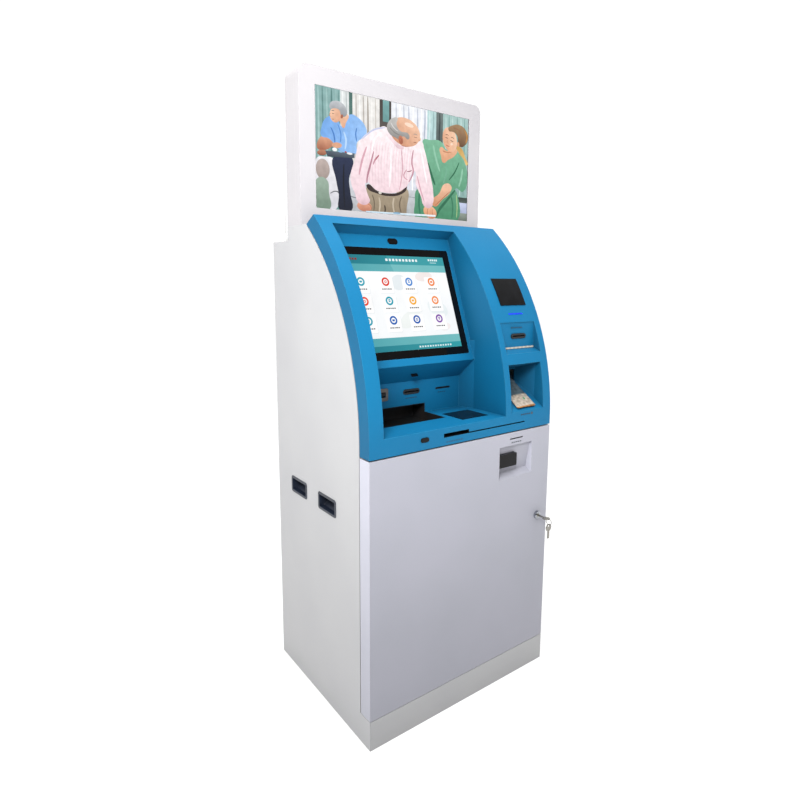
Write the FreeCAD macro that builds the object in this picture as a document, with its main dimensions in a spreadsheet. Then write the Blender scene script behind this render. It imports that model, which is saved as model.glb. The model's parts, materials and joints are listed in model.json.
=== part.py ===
import FreeCAD, Part
import math
import os
import re
import Sketcher
from FreeCAD import Placement, Rotation, Vector

# Self-service payment kiosk: a floor cabinet with a lower door, a curved hood that lifts for
# service and an advertising display on top.  Millimetres, +Z up, the user stands on the -Y side.
# The origin is the middle of the footprint, on the floor.

SIZES = {
    # cabinet
    "width": 700, "depth": 550, "step_drop": 41, "step_depth": 107, "crown_drop": 22,
    "sheet": 1.5, "rim": 20, "play": 0.3, "seam": 1.5, "pin_play": 0.05, "through": 1,
    # door
    "door_bottom": 88, "door_height": 733, "return_depth": 46, "side_gap": 3.5, "pivot_inset": 6.5,
    "pivot_radius": 3, "pivot_rise": 7, "stiffener_x": -60, "stiffener_width": 60,
    "stiffener_depth": 14, "stiffener_end": 40,
    # hood
    "hood_seam": 4, "hood_straight": 25, "hood_rise": 638, "hood_radius": 812, "hood_wall": 2,
    "crown_lap": 2, "liner_play": 0.2, "hinge_level": 6, "hinge_inset": 3, "hinge_radius": 4.5,
    "hinge_pin": 2, "hinge_length": 600, "knuckles": 6, "strap": 2, "leaf_reach": 15,
    "leaf_width": 18, "rail_sheet": 2, "rail_inset": 9, "rail_web": 30,
    # main recess in the hood
    "recess_left": 45, "column_band": 203, "recess_rise": 615, "shelf_rise": 50,
    "shelf_depth": 200, "back_height": 102, "panel_inset": 145, "panel_rise": 210,
    "panel_length": 406, "screen_tilt": 20, "recess_taper": 15, "taper_rise": 60, "liner_wall": 2,
    # touch screen
    "glass_side": 16, "glass_height": 344, "glass_foot": 22, "glass_sheet": 4,
    "glass_corner": 6, "monitor_depth": 42, "monitor_rim": 8,
    # small units of the main recess
    "camera_across": 37, "camera_tall": 19, "camera_shift": 2, "camera_rise": 389,
    "camera_depth": 24, "card_shift": 15.5, "card_width": 63, "card_tall": 16, "unit_rise": 119.5,
    "card_depth": 110, "card_rim": 8, "card_slot": 54.6, "ticket_side": 84.5, "ticket_width": 58,
    "ticket_tall": 5, "ticket_depth": 90, "ticket_body": 24, "ticket_rim": 6, "ticket_gap": 2.4,
    "mouth_gap": 4, "mouth_lap": 6, "finger_side": 118, "finger_width": 70, "finger_tall": 38,
    "finger_depth": 26,
    "finger_window": 16, "finger_shift": 18, "pocket_left": 15, "pocket_gap": 20,
    "pocket_front": 98, "pocket_back": 262, "pocket_low": 21, "pocket_high": 78, "pocket_wall": 2,
    "scanner_side": 83.5, "scanner_width": 107, "scanner_inset": 46, "scanner_length": 94,
    "scanner_depth": 34, "scanner_rim": 5,
    # front lip
    "sensor_side": 180.5, "sensor_width": 29, "sensor_tall": 13, "lip_rise": 27,
    "slot_left": 249, "slot_width": 331, "slot_tall": 4, "slot_drop": 3, "slot_step": 96,
    "slot_rise": 7, "guide_depth": 38,
    # right column of the hood
    "column_side": 103, "window_shift": 3, "window_width": 114, "window_tall": 83,
    "window_rise": 382, "window_sheet": 2, "window_lap": 8, "lens_gap": 0.1, "light_sheet": 1,
    "light_width": 61, "light_tall": 3, "light_rise": 354, "light_shift": 1.5,
    "niche_width": 155, "niche_foot": 235, "niche_head": 329, "niche_depth": 57,
    "niche_ledge": 11, "mouth_shift": 4.5, "mouth_width": 65, "mouth_tall": 15,
    "mouth_rise": 286, "mouth_depth": 80, "mouth_body": 34, "strip_tall": 5, "strip_sheet": 2,
    "outlet_shift": 4, "outlet_width": 146, "outlet_foot": 57, "outlet_head": 203,
    "outlet_depth": 110, "outlet_fall": 0.7, "outlet_front": 40, "outlet_taper": 21,
    "throat_tall": 42, "note_width": 77, "note_length": 140, "note_sheet": 1, "note_count": 4,
    "note_fan": 1.2, "note_shift": 3,
    # door front
    "scoop_side": 82, "scoop_width": 145, "scoop_drop": 143, "scoop_tall": 102, "scoop_toe": 14,
    "scoop_shallow": 8, "scoop_deep": 24, "code_side": 39, "code_rise": 56.5, "code_width": 76,
    "code_tall": 41, "code_depth": 34, "receipt_drop": 20, "receipt_width": 58,
    "receipt_tall": 4, "printer_width": 92, "printer_depth": 82, "printer_tall": 70,
    "printer_shift": 10, "printer_rise": 12, "printer_floor": 3, "roll_radius": 18,
    "roll_core": 6, "roll_width": 57, "roll_room": 2,
    "lock_side": 48, "lock_drop": 294, "lock_radius": 9.5, "lock_head": 13, "lock_proud": 8,
    "lock_length": 26, "lock_nut": 5, "plug_radius": 6, "cam_length": 34,
    "keeper_tall": 34, "keeper_width": 20, "keeper_gap": 4, "cam_width": 16, "cam_sheet": 2.5,
    "key_bow": 12, "key_sheet": 2, "key_shank": 24, "key_width": 8, "key_ring": 10,
    "ring_wire": 0.9, "key_hole": 4, "bow_rim": 2,
    # handles
    "cup_width": 104, "cup_tall": 52, "cup_depth": 30, "cup_level": 638, "cup_corner": 8,
    "cup_lip": 5, "cup_sheet": 1.5, "cup_wall": 2, "cup_slope": 14, "cup_front": 224,
    "cup_rear": 401,
    # display
    "display_height": 444, "display_depth": 87, "display_corner": 28, "display_margin": 51,
    "display_wall": 3, "bezel_depth": 30, "panel_depth": 30, "panel_rim": 4, "pane_sheet": 4,
    "pane_rim": 14, "bracket_width": 240, "bracket_sheet": 3, "bracket_arm": 4,
    "bracket_foot": 90, "bracket_head": 110, "vent_count": 5, "vent_width": 260, "vent_tall": 4,
    "vent_pitch": 12, "vent_drop": 70,
    # frame and shelf
    "tube": 25, "tube_wall": 2, "post_front": 62, "post_rear": 505, "shelf_height": 600,
    "shelf_lip": 18, "anchor_x": 250, "anchor_y": 180, "anchor_radius": 7, "base_sheet": 3,
    "cable_radius": 25, "cable_inset": 90,
    # rear
    "louvre_count": 7, "louvre_width": 180, "louvre_tall": 5, "louvre_pitch": 16,
    "louvre_low": 150, "louvre_drop": 220, "screw_head": 4.5, "screw_tall": 2, "screw_end": 40,
    "screw_rows": 5, "inlet_side": 130, "inlet_level": 60, "inlet_width": 46, "inlet_tall": 30,
    "inlet_depth": 30, "inlet_rim": 5, "inlet_face": 2, "inlet_cup_width": 28,
    "inlet_cup_tall": 20, "inlet_cup_depth": 16, "inlet_pin": 2, "inlet_pin_tall": 5,
    "inlet_pin_length": 12, "inlet_pitch": 7,
    "fan_size": 120, "fan_depth": 25, "fan_corner": 6, "fan_ring": 4, "fan_hub": 19,
    "fan_blades": 7, "fan_drop": 350, "fan_spoke": 5, "fan_floor": 3, "fan_shaft": 2.5,
    "fan_gap": 1, "fan_tip": 6, "blade_sheet": 2,
    "antenna_side": 15, "antenna_inset": 50, "antenna_length": 128, "antenna_radius": 4.5,
    "antenna_base_radius": 9, "antenna_base_tall": 10, "ear_width": 10, "ear_sheet": 2.4,
    "ear_tall": 12, "ear_place": 5.3, "antenna_pin": 1.5, "antenna_pin_rise": 7,
    "antenna_knuckle": 7, "knuckle_low": 3.5, "knuckle_high": 20, "whip_low": 16,
    # units on the shelf
    "unit_corner": 4, "pc_left": 70, "pc_width": 210, "pc_front": 290, "pc_depth": 190,
    "pc_tall": 66, "port_width": 24, "port_pitch": 36, "port_count": 5, "port_low": 16,
    "port_tall": 14, "port_deep": 6, "port_start": 18,
    "dispenser_side": 60, "dispenser_width": 250, "dispenser_front": 120,
    "dispenser_depth": 350, "bay_wall": 3, "bay_tall": 90, "bay_pitch": 96, "bay_count": 2,
    "bay_rear": 30, "cassette_tall": 88, "cassette_proud": 4, "grip_width": 90, "grip_tall": 28,
    "grip_low": 30, "grip_deep": 18,
    "stay_radius": 3, "stay_length": 320, "stay_inset": 28, "stay_rise": 505, "stay_boss": 4,
    "stay_eye": 6,
}

# Places worked out from the sizes, in the order in which they need each other
PLACES = {
    "door_top": "door_bottom + door_height",
    "hood_low": "door_top + hood_seam",
    "hood_high": "hood_low + hood_rise",
    "cabinet_height": "hood_high - crown_drop",
    "step_height": "cabinet_height - step_drop",
    "recess_start": "recess_left - width / 2",
    "recess_end": "width / 2 - column_band",
    "recess_middle": "(recess_start + recess_end) / 2",
    "recess_top": "hood_low + recess_rise",
    "shelf_level": "hood_low + shelf_rise",
    "panel_level": "hood_low + panel_rise",
    "unit_level": "hood_low + unit_rise",
    "pocket_floor": "hood_low + pocket_low",
    "pocket_top": "hood_low + pocket_high",
    "lip_level": "hood_low + lip_rise",
    "window_level": "hood_low + window_rise",
    "light_level": "hood_low + light_rise",
    "niche_low": "hood_low + niche_foot",
    "niche_high": "hood_low + niche_head",
    "mouth_level": "hood_low + mouth_rise",
    "outlet_low": "hood_low + outlet_foot",
    "outlet_high": "hood_low + outlet_head",
    "stay_level": "hood_low + stay_rise",
    "camera_x": "recess_middle - camera_shift",
    "card_x": "recess_middle + card_shift",
    "ticket_x": "recess_end - ticket_side",
    "finger_x": "recess_start + finger_side",
    "scanner_x": "recess_end - scanner_side",
    "sensor_x": "sensor_side - width / 2",
    "column_x": "width / 2 - column_side",
    "light_x": "column_x + light_shift",
    "mouth_x": "column_x + mouth_shift",
    "outlet_x": "column_x - outlet_shift",
    "scoop_start": "width / 2 - scoop_side - scoop_width",
    "scoop_low": "door_top - scoop_drop",
    "code_x": "scoop_start + code_side",
    "code_level": "scoop_low + code_rise",
    "receipt_x": "scoop_start + scoop_width / 2",
    "receipt_level": "door_top - receipt_drop",
    "lock_x": "width / 2 - lock_side",
    "lock_level": "door_top - lock_drop",
    "louvre_high": "step_height - louvre_drop",
    "fan_level": "step_height - fan_drop",
    "inlet_x": "inlet_side - width / 2",
    "pc_start": "pc_left - width / 2",
    "dispenser_end": "width / 2 - dispenser_side",
    "dispenser_tall": "bay_count * bay_pitch + bay_wall + 1",
}

doc = FreeCAD.newDocument("kiosk")
sheet = doc.addObject("Spreadsheet::Sheet", "Size")
for row, (alias, number) in enumerate(SIZES.items(), start=1):
    sheet.set(f"A{row}", alias)
    sheet.set(f"B{row}", str(number))
    sheet.setAlias(f"B{row}", alias)
for row, (alias, text) in enumerate(PLACES.items(), start=len(SIZES) + 1):
    sheet.set(f"A{row}", alias)
    sheet.set(f"B{row}", f"={text}")
    sheet.setAlias(f"B{row}", alias)
    doc.recompute()

nodes = []


def tied(text):
    """Expression text with each size name pointed at the sheet."""
    return re.sub(r"\b([a-z]\w*)\b(?!\()", r"Size.\1", str(text))


def value(text):
    return float(sheet.evalExpression(tied(text)))


def bind(item, name, text):
    item.setExpression(name, tied(text))


def node(label, item):
    """Registers one finished piece under the name of its file."""
    item.Label = label
    nodes.append(item)
    return item


# Places that many pieces share
LEFT = "(-width / 2)"
RIGHT = "(width / 2)"
REAR = "(depth / 2)"
DOOR_TOP = "door_top"
HOOD_LOW = "hood_low"
HOOD_HIGH = "hood_high"
ARC_LEVEL = "(hood_low + hood_straight)"


def behind(distance):
    """Y of a point that lies a distance behind the door's face."""
    return f"({distance} - depth / 2)"


def skin(level, inset="0"):
    """Y of the hood's curved face, or of an arc parallel to it, at a height."""
    reach = f"(hood_radius - ({inset}))^2 - (({level}) - {ARC_LEVEL})^2"
    return f"(hood_radius - sqrt({reach}) - depth / 2)"


def block(name, across, back, up):
    """Box between three pairs of expressions."""
    box = doc.addObject("Part::Box", name)
    for side, axis, (low, high) in zip(("Length", "Width", "Height"), "xyz", (across, back, up)):
        bind(box, side, f"({high}) - ({low})")
        bind(box, f"Placement.Base.{axis}", low)
    return box


def rod(name, axis, start, radius, length):
    """Cylinder from a start point along an axis."""
    turns = {"X": Rotation(Vector(0, 1, 0), 90), "Y": Rotation(Vector(1, 0, 0), -90), "Z": Rotation()}
    cylinder = doc.addObject("Part::Cylinder", name)
    cylinder.Placement = Placement(Vector(), turns[axis])
    bind(cylinder, "Radius", radius)
    bind(cylinder, "Height", length)
    for letter, place in zip("xyz", start):
        bind(cylinder, f"Placement.Base.{letter}", place)
    return cylinder


def joined(name, pieces):
    union = doc.addObject("Part::MultiFuse", name)
    union.Shapes = pieces
    return union


def cut(name, base, tools):
    """Base with every tool taken away."""
    taken = doc.addObject("Part::Cut", name)
    taken.Base = base
    taken.Tool = tools[0] if len(tools) == 1 else joined(f"{name}_tools", tools)
    return taken


def shared(name, first, second):
    common = doc.addObject("Part::Common", name)
    common.Base = first
    common.Tool = second
    return common


def group(name, pieces):
    """Several separate solids kept in one node."""
    compound = doc.addObject("Part::Compound", name)
    compound.Links = pieces
    return compound


def outline(owner, role, offset, points):
    """Closed sketch on an origin plane; a third entry makes the edge after a point an arc."""
    sketch = owner.newObject("Sketcher::SketchObject", f"{owner.Name}_outline")
    plane = [item for item in owner.Origin.OriginFeatures if item.Role == role][0]
    sketch.AttachmentSupport = [(plane, "")]
    sketch.MapMode = "FlatFace"
    bind(sketch, "AttachmentOffset.Base.z", offset)
    spots = [Vector(value(point[0]), value(point[1]), 0) for point in points]
    edges = list(zip(spots, spots[1:] + spots[:1]))
    for point, (start, end) in zip(points, edges):
        if len(point) == 2:
            sketch.addGeometry(Part.LineSegment(start, end), False)
        else:
            # every arc bulges forwards and upwards
            bulge = Vector(-abs(start.y - end.y), abs(end.x - start.x), 0).normalize()
            reach = value(point[2])
            rise = reach - math.sqrt(reach ** 2 - (end - start).Length ** 2 / 4)
            sketch.addGeometry(Part.Arc(start, (start + end) * 0.5 + bulge * rise, end), False)

    def corner(edge, spot):
        gaps = [(sketch.getPoint(edge, which) - spot).Length for which in (1, 2)]
        return 1 if gaps[0] < gaps[1] else 2

    for edge, (point, spot) in enumerate(zip(points, spots)):
        before = (edge - 1) % len(spots)
        here = corner(edge, spot)
        sketch.addConstraint(
            Sketcher.Constraint("Coincident", before, corner(before, spot), edge, here))
        for kind, text, number in zip(("DistanceX", "DistanceY"), point[:2], spot):
            rule = sketch.addConstraint(Sketcher.Constraint(kind, -1, 1, edge, here, number))
            bind(sketch, f"Constraints[{rule}]", text)
        if len(point) > 2:
            rule = sketch.addConstraint(Sketcher.Constraint("Radius", edge, value(point[2])))
            bind(sketch, f"Constraints[{rule}]", point[2])
    return sketch


def prism(name, role, points, low, high):
    """Body padded from an outline, between two places along the plane's own axis."""
    owner = doc.addObject("PartDesign::Body", name)
    start = f"-({high})" if role == "XZ_Plane" else low
    pad = owner.newObject("PartDesign::Pad", f"{name}_pad")
    pad.Profile = outline(owner, role, start, points)
    bind(pad, "Length", f"({high}) - ({low})")
    doc.recompute()
    return owner


def rectangle(across, up):
    return [(across[0], up[0]), (across[1], up[0]), (across[1], up[1]), (across[0], up[1])]


def hollow(owner, wall, opened, outward=False):
    """Leaves a wall round a body and opens the faces that the test picks."""
    base = owner.Tip
    faces = [f"Face{place}" for place, face in enumerate(base.Shape.Faces, start=1) if opened(face)]
    shell = owner.newObject("PartDesign::Thickness", f"{owner.Name}_shell")
    shell.Base = (base, faces)
    shell.Join = 1
    shell.Reversed = not outward
    bind(shell, "Value", wall)
    doc.recompute()
    return owner


def rounded(owner, radius, direction):
    """Rounds the straight edges that run along a direction."""
    base = owner.Tip
    edges = []
    for place, edge in enumerate(base.Shape.Edges, start=1):
        ends = edge.Vertexes
        along = ends[-1].Point - ends[0].Point
        if along.Length and abs(along.dot(direction)) > 0.999 * along.Length:
            edges.append(f"Edge{place}")
    fillet = owner.newObject("PartDesign::Fillet", f"{owner.Name}_round")
    fillet.Base = (base, edges)
    bind(fillet, "Radius", radius)
    doc.recompute()
    return owner


def plate(name, across, back, up, radius=None):
    """Upright plate facing the user, with corners rounded when a radius is given."""
    owner = prism(name, "XZ_Plane", rectangle(across, up), back[0], back[1])
    return rounded(owner, radius, Vector(0, 1, 0)) if radius else owner


def centred(middle, size):
    return (f"({middle}) - ({size}) / 2", f"({middle}) + ({size}) / 2")


def widened(pair, extra):
    return (f"{pair[0]} - ({extra})", f"{pair[1]} + ({extra})")


def on_screen_panel(item):
    """Leans a piece drawn upright at the origin onto the screen's panel."""
    item.Placement = Placement(Vector(), Rotation(Vector(-1, 0, 0), 10))
    bind(item, "Placement.Rotation.Angle", "screen_tilt")
    bind(item, "Placement.Base.y", behind("panel_inset"))
    bind(item, "Placement.Base.z", "panel_level")
    return item


def mirrored(name, source):
    """The same piece on the other side of the cabinet."""
    twin = doc.addObject("Part::Mirroring", name)
    twin.Source = source
    twin.Normal = Vector(1, 0, 0)
    return twin


# ---- cabinet shell ----

PANEL_FRONT = behind("return_depth + side_gap")
STEP_FRONT = f"({REAR} - step_depth)"
PANEL_TOP = "(cabinet_height - sheet)"
FRONT = "(-depth / 2)"
PANEL_REAR = f"({REAR} - sheet)"


def side_panel():
    """Folded pan whose front edge follows the door and then the hood's arc."""
    inset = "return_depth + side_gap"
    points = [
        (FRONT, "0"),
        (PANEL_REAR, "0"),
        (PANEL_REAR, "step_height - sheet"),
        (STEP_FRONT, "step_height - sheet"),
        (STEP_FRONT, PANEL_TOP),
        (skin(PANEL_TOP, inset), PANEL_TOP, f"hood_radius - ({inset})"),
        (PANEL_FRONT, ARC_LEVEL),
        (PANEL_FRONT, "door_bottom - seam"),
        (FRONT, "door_bottom - seam"),
    ]
    panel = prism("side_pan", "YZ_Plane", points, LEFT, f"{LEFT} + rim")
    inner = value(f"{LEFT} + rim")
    hollow(panel, "sheet", lambda face: abs(face.CenterOfMass.x - inner) < 0.01)
    return panel


def cup_holes():
    holes = []
    for place in ("cup_front", "cup_rear"):
        across = centred(behind(place), "cup_width - 2 * cup_lip")
        up = centred("cup_level", "cup_tall - 2 * cup_lip")
        holes.append(block(f"{place}_hole", (f"{LEFT} - through", f"{LEFT} + rim"), across, up))
    return holes


def plinth_room():
    """Front rim that is cut away so that the plinth's face runs from side to side."""
    return block("plinth_face_room", (f"{LEFT} + sheet", f"{LEFT} + rim + through"),
                 (f"{FRONT} - through", f"{FRONT} + sheet + play"), ("-through", "door_bottom"))


def lock_keeper():
    """Lip that the lock's cam turns behind, on the side panel's front rim."""
    up = centred("lock_level", "keeper_tall")
    outer = f"({RIGHT} - sheet - keeper_gap)"
    lip = block("keeper_lip", (f"{outer} - keeper_width", outer),
                (behind("lock_length - keeper_gap"), behind("lock_length - keeper_gap + sheet")), up)
    web = block("keeper_web", (f"{outer} - sheet", outer),
                (behind("lock_length - keeper_gap"), PANEL_FRONT), up)
    return [lip, web]


left_side = node("left_side_panel", cut("left_side", side_panel(), [*cup_holes(), plinth_room()]))
right_side = mirrored("right_side", left_side)
node("right_side_panel", joined("right_side_whole", [right_side, *lock_keeper()]))


def handle_cup(place):
    """Moulded grip cup: a lip on the panel's outside and a scoop through it."""
    middle = behind(place)
    lip = (f"{LEFT} - cup_sheet", LEFT)
    across = centred(middle, "cup_width")
    up = centred("cup_level", "cup_tall")
    frame = prism(f"{place}_lip", "YZ_Plane", rectangle(across, up), lip[0], lip[1])
    rounded(frame, "cup_corner", Vector(1, 0, 0))
    inner_across = centred(middle, "cup_width - 2 * cup_lip - 2 * play")
    inner_up = centred("cup_level", "cup_tall - 2 * cup_lip - 2 * play")
    body = block(f"{place}_body", (LEFT, f"{LEFT} + cup_depth"), inner_across, inner_up)
    grip = prism(f"{place}_grip", "XZ_Plane", [
        (f"{LEFT} - cup_sheet - through", f"{inner_up[0]} + cup_wall"),
        (f"{LEFT} + cup_depth / 2", f"{inner_up[0]} + cup_wall"),
        (f"{LEFT} + cup_depth - cup_wall", f"{inner_up[0]} + cup_wall + cup_slope"),
        (f"{LEFT} + cup_depth - cup_wall", f"{inner_up[1]} - cup_wall"),
        (f"{LEFT} - cup_sheet - through", f"{inner_up[1]} - cup_wall"),
    ], f"{inner_across[0]} + cup_wall", f"{inner_across[1]} - cup_wall")
    return cut(f"{place}_cup", joined(f"{place}_whole", [frame, body]), [grip])


for word, place in (("front", "cup_front"), ("rear", "cup_rear")):
    cup = node(f"left_{word}_handle_cup", handle_cup(place))
    node(f"right_{word}_handle_cup", mirrored(f"right_{place}", cup))


def base_plate():
    """Folded floor pan with four anchor holes and a cable hole at the rear."""
    inside = (f"{LEFT} + sheet", f"{RIGHT} - sheet")
    back = (f"{FRONT} + sheet + play", f"{PANEL_REAR} - sheet - play")
    floor = block("floor_sheet", inside, back, ("0", "base_sheet"))
    holes = []
    for x_side in (-1, 1):
        for y_side in (-1, 1):
            start = (f"{x_side} * anchor_x", f"{y_side} * anchor_y", "-through")
            holes.append(rod(f"anchor_{len(holes)}", "Z", start, "anchor_radius",
                             "base_sheet + 2 * through"))
    # the side panels' bottom rims lie on the floor beside the plate
    for name, pair in (("left_rim", (LEFT, f"{LEFT} + rim + play")),
                       ("right_rim", (f"{RIGHT} - rim - play", RIGHT))):
        holes.append(block(f"{name}_room", pair, widened(back, "through"),
                           ("-through", "sheet + play")))
    holes.append(rod("cable_hole", "Z", ("0", f"{REAR} - cable_inset", "-through"), "cable_radius",
                     "base_sheet + 2 * through"))
    return cut("base", floor, holes)


node("base_plate", base_plate())

plinth = prism("plinth_pan", "XZ_Plane", rectangle(
    (f"{LEFT} + sheet + play", f"{RIGHT} - sheet - play"), ("base_sheet", "door_bottom - seam")),
    FRONT, behind("return_depth"))
plinth_rear = value(behind("return_depth"))
hollow(plinth, "sheet", lambda face: abs(face.CenterOfMass.y - plinth_rear) < 0.01)
rim_rooms = [block(f"plinth_room_{side}", pair, (f"{FRONT} + sheet", behind("return_depth + through")),
                   ("base_sheet - through", "door_bottom"))
             for side, pair in (("a", (LEFT, f"{LEFT} + rim + play")),
                                ("b", (f"{RIGHT} - rim - play", RIGHT)))]
skirt = block("plinth_skirt", (f"{LEFT} + sheet + play", f"{RIGHT} - sheet - play"),
              (FRONT, f"{FRONT} + sheet"), ("0", "base_sheet"))
node("front_plinth", joined("plinth", [cut("plinth_trimmed", plinth, rim_rooms), skirt]))


def rear_panel():
    """Flat rear sheet with two banks of louvre slots, a fan opening and screw holes."""
    panel = block("rear_sheet", (LEFT, RIGHT), (PANEL_REAR, REAR), ("0", "step_height - sheet"))
    holes = []
    across = centred("0", "louvre_width")
    for bank in ("louvre_low", "louvre_high"):
        for step in range(int(value("louvre_count"))):
            up = centred(f"{bank} + {step} * louvre_pitch", "louvre_tall")
            holes.append(block(f"{bank}_{step}", across, widened((PANEL_REAR, REAR), "through"), up))
    start = ("0", f"{PANEL_REAR} - through", "fan_level")
    holes.append(rod("fan_opening", "Y", start, "fan_size / 2 - fan_tip", "sheet + 2 * through"))
    holes.append(block("inlet_opening", centred("inlet_x", "inlet_width"),
                       widened((PANEL_REAR, REAR), "through"), centred("inlet_level", "inlet_tall")))
    return cut("rear", panel, holes)


node("rear_panel", rear_panel())


screw_pitch = "(step_height - 2 * screw_end) / (screw_rows - 1)"
screw_spots = [(f"{side} * (width / 2 - rim / 2)", REAR, f"screw_end + {step} * {screw_pitch}")
               for side in (-1, 1) for step in range(int(value("screw_rows")))]
node("rear_screws", group("screws", [
    rod(f"screw_{place}", "Y", spot, "screw_head", "screw_tall")
    for place, spot in enumerate(screw_spots)]))

TOP_FRONT = skin(PANEL_TOP, "return_depth + side_gap")
node("top_cover", prism("top_sheet", "YZ_Plane", [
    (TOP_FRONT, PANEL_TOP),
    (STEP_FRONT, PANEL_TOP),
    (STEP_FRONT, "step_height - sheet"),
    (REAR, "step_height - sheet"),
    (REAR, "step_height"),
    (f"{STEP_FRONT} + sheet", "step_height"),
    (f"{STEP_FRONT} + sheet", "cabinet_height"),
    (TOP_FRONT, "cabinet_height"),
], LEFT, RIGHT))


def mid_rail():
    """Cross rail in the seam between door and hood; the hood rests on it."""
    up = (f"{HOOD_LOW} - play - rail_sheet", f"{HOOD_LOW} - play")
    middle = behind("return_depth + side_gap - play")
    inner = (f"{LEFT} + rim + play", f"{RIGHT} - rim - play")
    nose = block("rail_nose", (f"{LEFT} + rail_inset", f"{RIGHT} - rail_inset"),
                 (behind("rail_inset"), middle), up)
    shelf = block("rail_top", inner, (middle, behind("post_front + tube")), up)
    web = block("rail_web", (f"{inner[0]} + tube + play", f"{inner[1]} - tube - play"),
                (behind("post_front + tube - rail_sheet"), behind("post_front + tube")),
                (f"{DOOR_TOP} - rail_web", f"{HOOD_LOW} - play"))
    return joined("rail", [nose, shelf, web])


node("mid_rail", mid_rail())


def door_pivot(name, low, flange_low, flange_high, high):
    """Pivot pin with a washer flange that carries or guides the door's corner."""
    place = (f"{LEFT} + pivot_inset", behind("return_depth - pivot_inset"))
    pin = rod(f"{name}_pin", "Z", (*place, low), "pivot_radius", f"({high}) - ({low})")
    flange = rod(f"{name}_flange", "Z", (*place, flange_low), "pivot_inset - sheet - play",
                 f"({flange_high}) - ({flange_low})")
    return joined(name, [pin, flange])


lower_pivot = door_pivot("lower_pivot", "door_bottom - seam", "door_bottom - seam",
                         "door_bottom - play", "door_bottom + pivot_rise")
upper_pivot = door_pivot("upper_pivot", f"{DOOR_TOP} - pivot_rise", f"{DOOR_TOP} + play",
                         f"{HOOD_LOW} - play - rail_sheet", f"{HOOD_LOW} - play - rail_sheet")
node("door_pivots", group("pivots", [lower_pivot, upper_pivot]))

# ---- inner frame and shelf ----

FRAME_LEFT = (f"{LEFT} + sheet + play", f"{LEFT} + sheet + play + tube")


def frame_tube(name, across, back, up, open_along):
    """Square tube; its bore runs along one axis."""
    spans = [across, back, up]
    bore = [span if axis == open_along else (f"{span[0]} + tube_wall", f"{span[1]} - tube_wall")
            for axis, span in enumerate(spans)]
    return block(name, *spans), block(f"{name}_bore", *bore)


def side_frame():
    """Welded ladder of square tubes behind one side panel."""
    front = (behind("post_front"), behind("post_front + tube"))
    rear = (behind("post_rear"), behind("post_rear + tube"))
    rail = (front[1], rear[0])
    x_pair = (f"{LEFT} + rim + play", f"{LEFT} + rim + play + tube")
    tubes = [
        frame_tube("post_a", x_pair, front, ("base_sheet", f"{HOOD_LOW} - play - rail_sheet"), 2),
        frame_tube("post_b", x_pair, rear, ("base_sheet", "step_height - sheet - rim"), 2),
        frame_tube("rail_low", x_pair, rail, ("base_sheet", "base_sheet + tube"), 1),
        frame_tube("rail_mid", x_pair, rail, ("shelf_height - tube", "shelf_height"), 1),
        frame_tube("rail_high", x_pair, rail,
                   (f"{DOOR_TOP} - 2 * tube", f"{DOOR_TOP} - tube"), 1),
    ]
    whole = joined("ladder", [tube for tube, bore in tubes])
    return cut("left_ladder", whole, [bore for tube, bore in tubes])


left_frame = node("left_frame", side_frame())
node("right_frame", mirrored("right_ladder", left_frame))

SHELF_X = (f"{LEFT} + rim + play", f"{RIGHT} - rim - play")
SHELF_TOP = "(shelf_height + sheet)"
shelf_sheet = block("shelf_sheet", SHELF_X, (behind("post_front + tube + play"),
                    behind("post_rear - play")), ("shelf_height", SHELF_TOP))
shelf_lip = block("shelf_lip", (f"{SHELF_X[0]} + tube + play", f"{SHELF_X[1]} - tube - play"),
                  (behind("post_front + tube + play"), behind("post_front + tube + play + sheet")),
                  ("shelf_height - shelf_lip", "shelf_height"))
node("equipment_shelf", joined("shelf", [shelf_sheet, shelf_lip]))

# ---- units on the shelf and the floor ----

pc_case = plate("pc_case", ("pc_start", "pc_start + pc_width"),
                (behind("pc_front"), behind("pc_front + pc_depth")),
                (SHELF_TOP, f"{SHELF_TOP} + pc_tall"), "unit_corner")
pc_ports = []
for step in range(int(value("port_count"))):
    port_x = f"(pc_start + port_start + {step} * port_pitch)"
    pc_ports.append(block(f"pc_port_{step}", (port_x, f"{port_x} + port_width"),
                          (behind("pc_front - through"), behind("pc_front + port_deep")),
                          (f"{SHELF_TOP} + port_low", f"{SHELF_TOP} + port_low + port_tall")))
node("industrial_pc", cut("computer", pc_case, pc_ports))

DISPENSER_X = ("(dispenser_end - dispenser_width)", "dispenser_end")
DISPENSER_REAR = "(dispenser_front + dispenser_depth)"
dispenser_body = block("dispenser_body", DISPENSER_X,
                       (behind("dispenser_front"), behind(DISPENSER_REAR)),
                       (SHELF_TOP, f"{SHELF_TOP} + dispenser_tall"))
bays = []
cassettes = []
for step in range(int(value("bay_count"))):
    low = f"({SHELF_TOP} + bay_wall + {step} * bay_pitch)"
    bay_x = widened(DISPENSER_X, "-bay_wall")
    bays.append(block(f"bay_{step}", bay_x,
                      (behind("dispenser_front - through"), behind(f"{DISPENSER_REAR} - bay_rear")),
                      (low, f"{low} + bay_tall")))
    case = plate(f"cassette_{step}", widened(bay_x, "-play"),
                 (behind("dispenser_front - cassette_proud"),
                  behind(f"{DISPENSER_REAR} - bay_rear - 2")),
                 (low, f"{low} + cassette_tall"), "unit_corner")
    grip = block(f"cassette_grip_{step}",
                 centred("dispenser_end - dispenser_width / 2", "grip_width"),
                 (behind("dispenser_front - cassette_proud - through"),
                  behind("dispenser_front - cassette_proud + grip_deep")),
                 (f"{low} + grip_low", f"{low} + grip_low + grip_tall"))
    cassettes.append(cut(f"cassette_cut_{step}", case, [grip]))
node("cash_dispenser", cut("dispenser", dispenser_body, bays))
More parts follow.
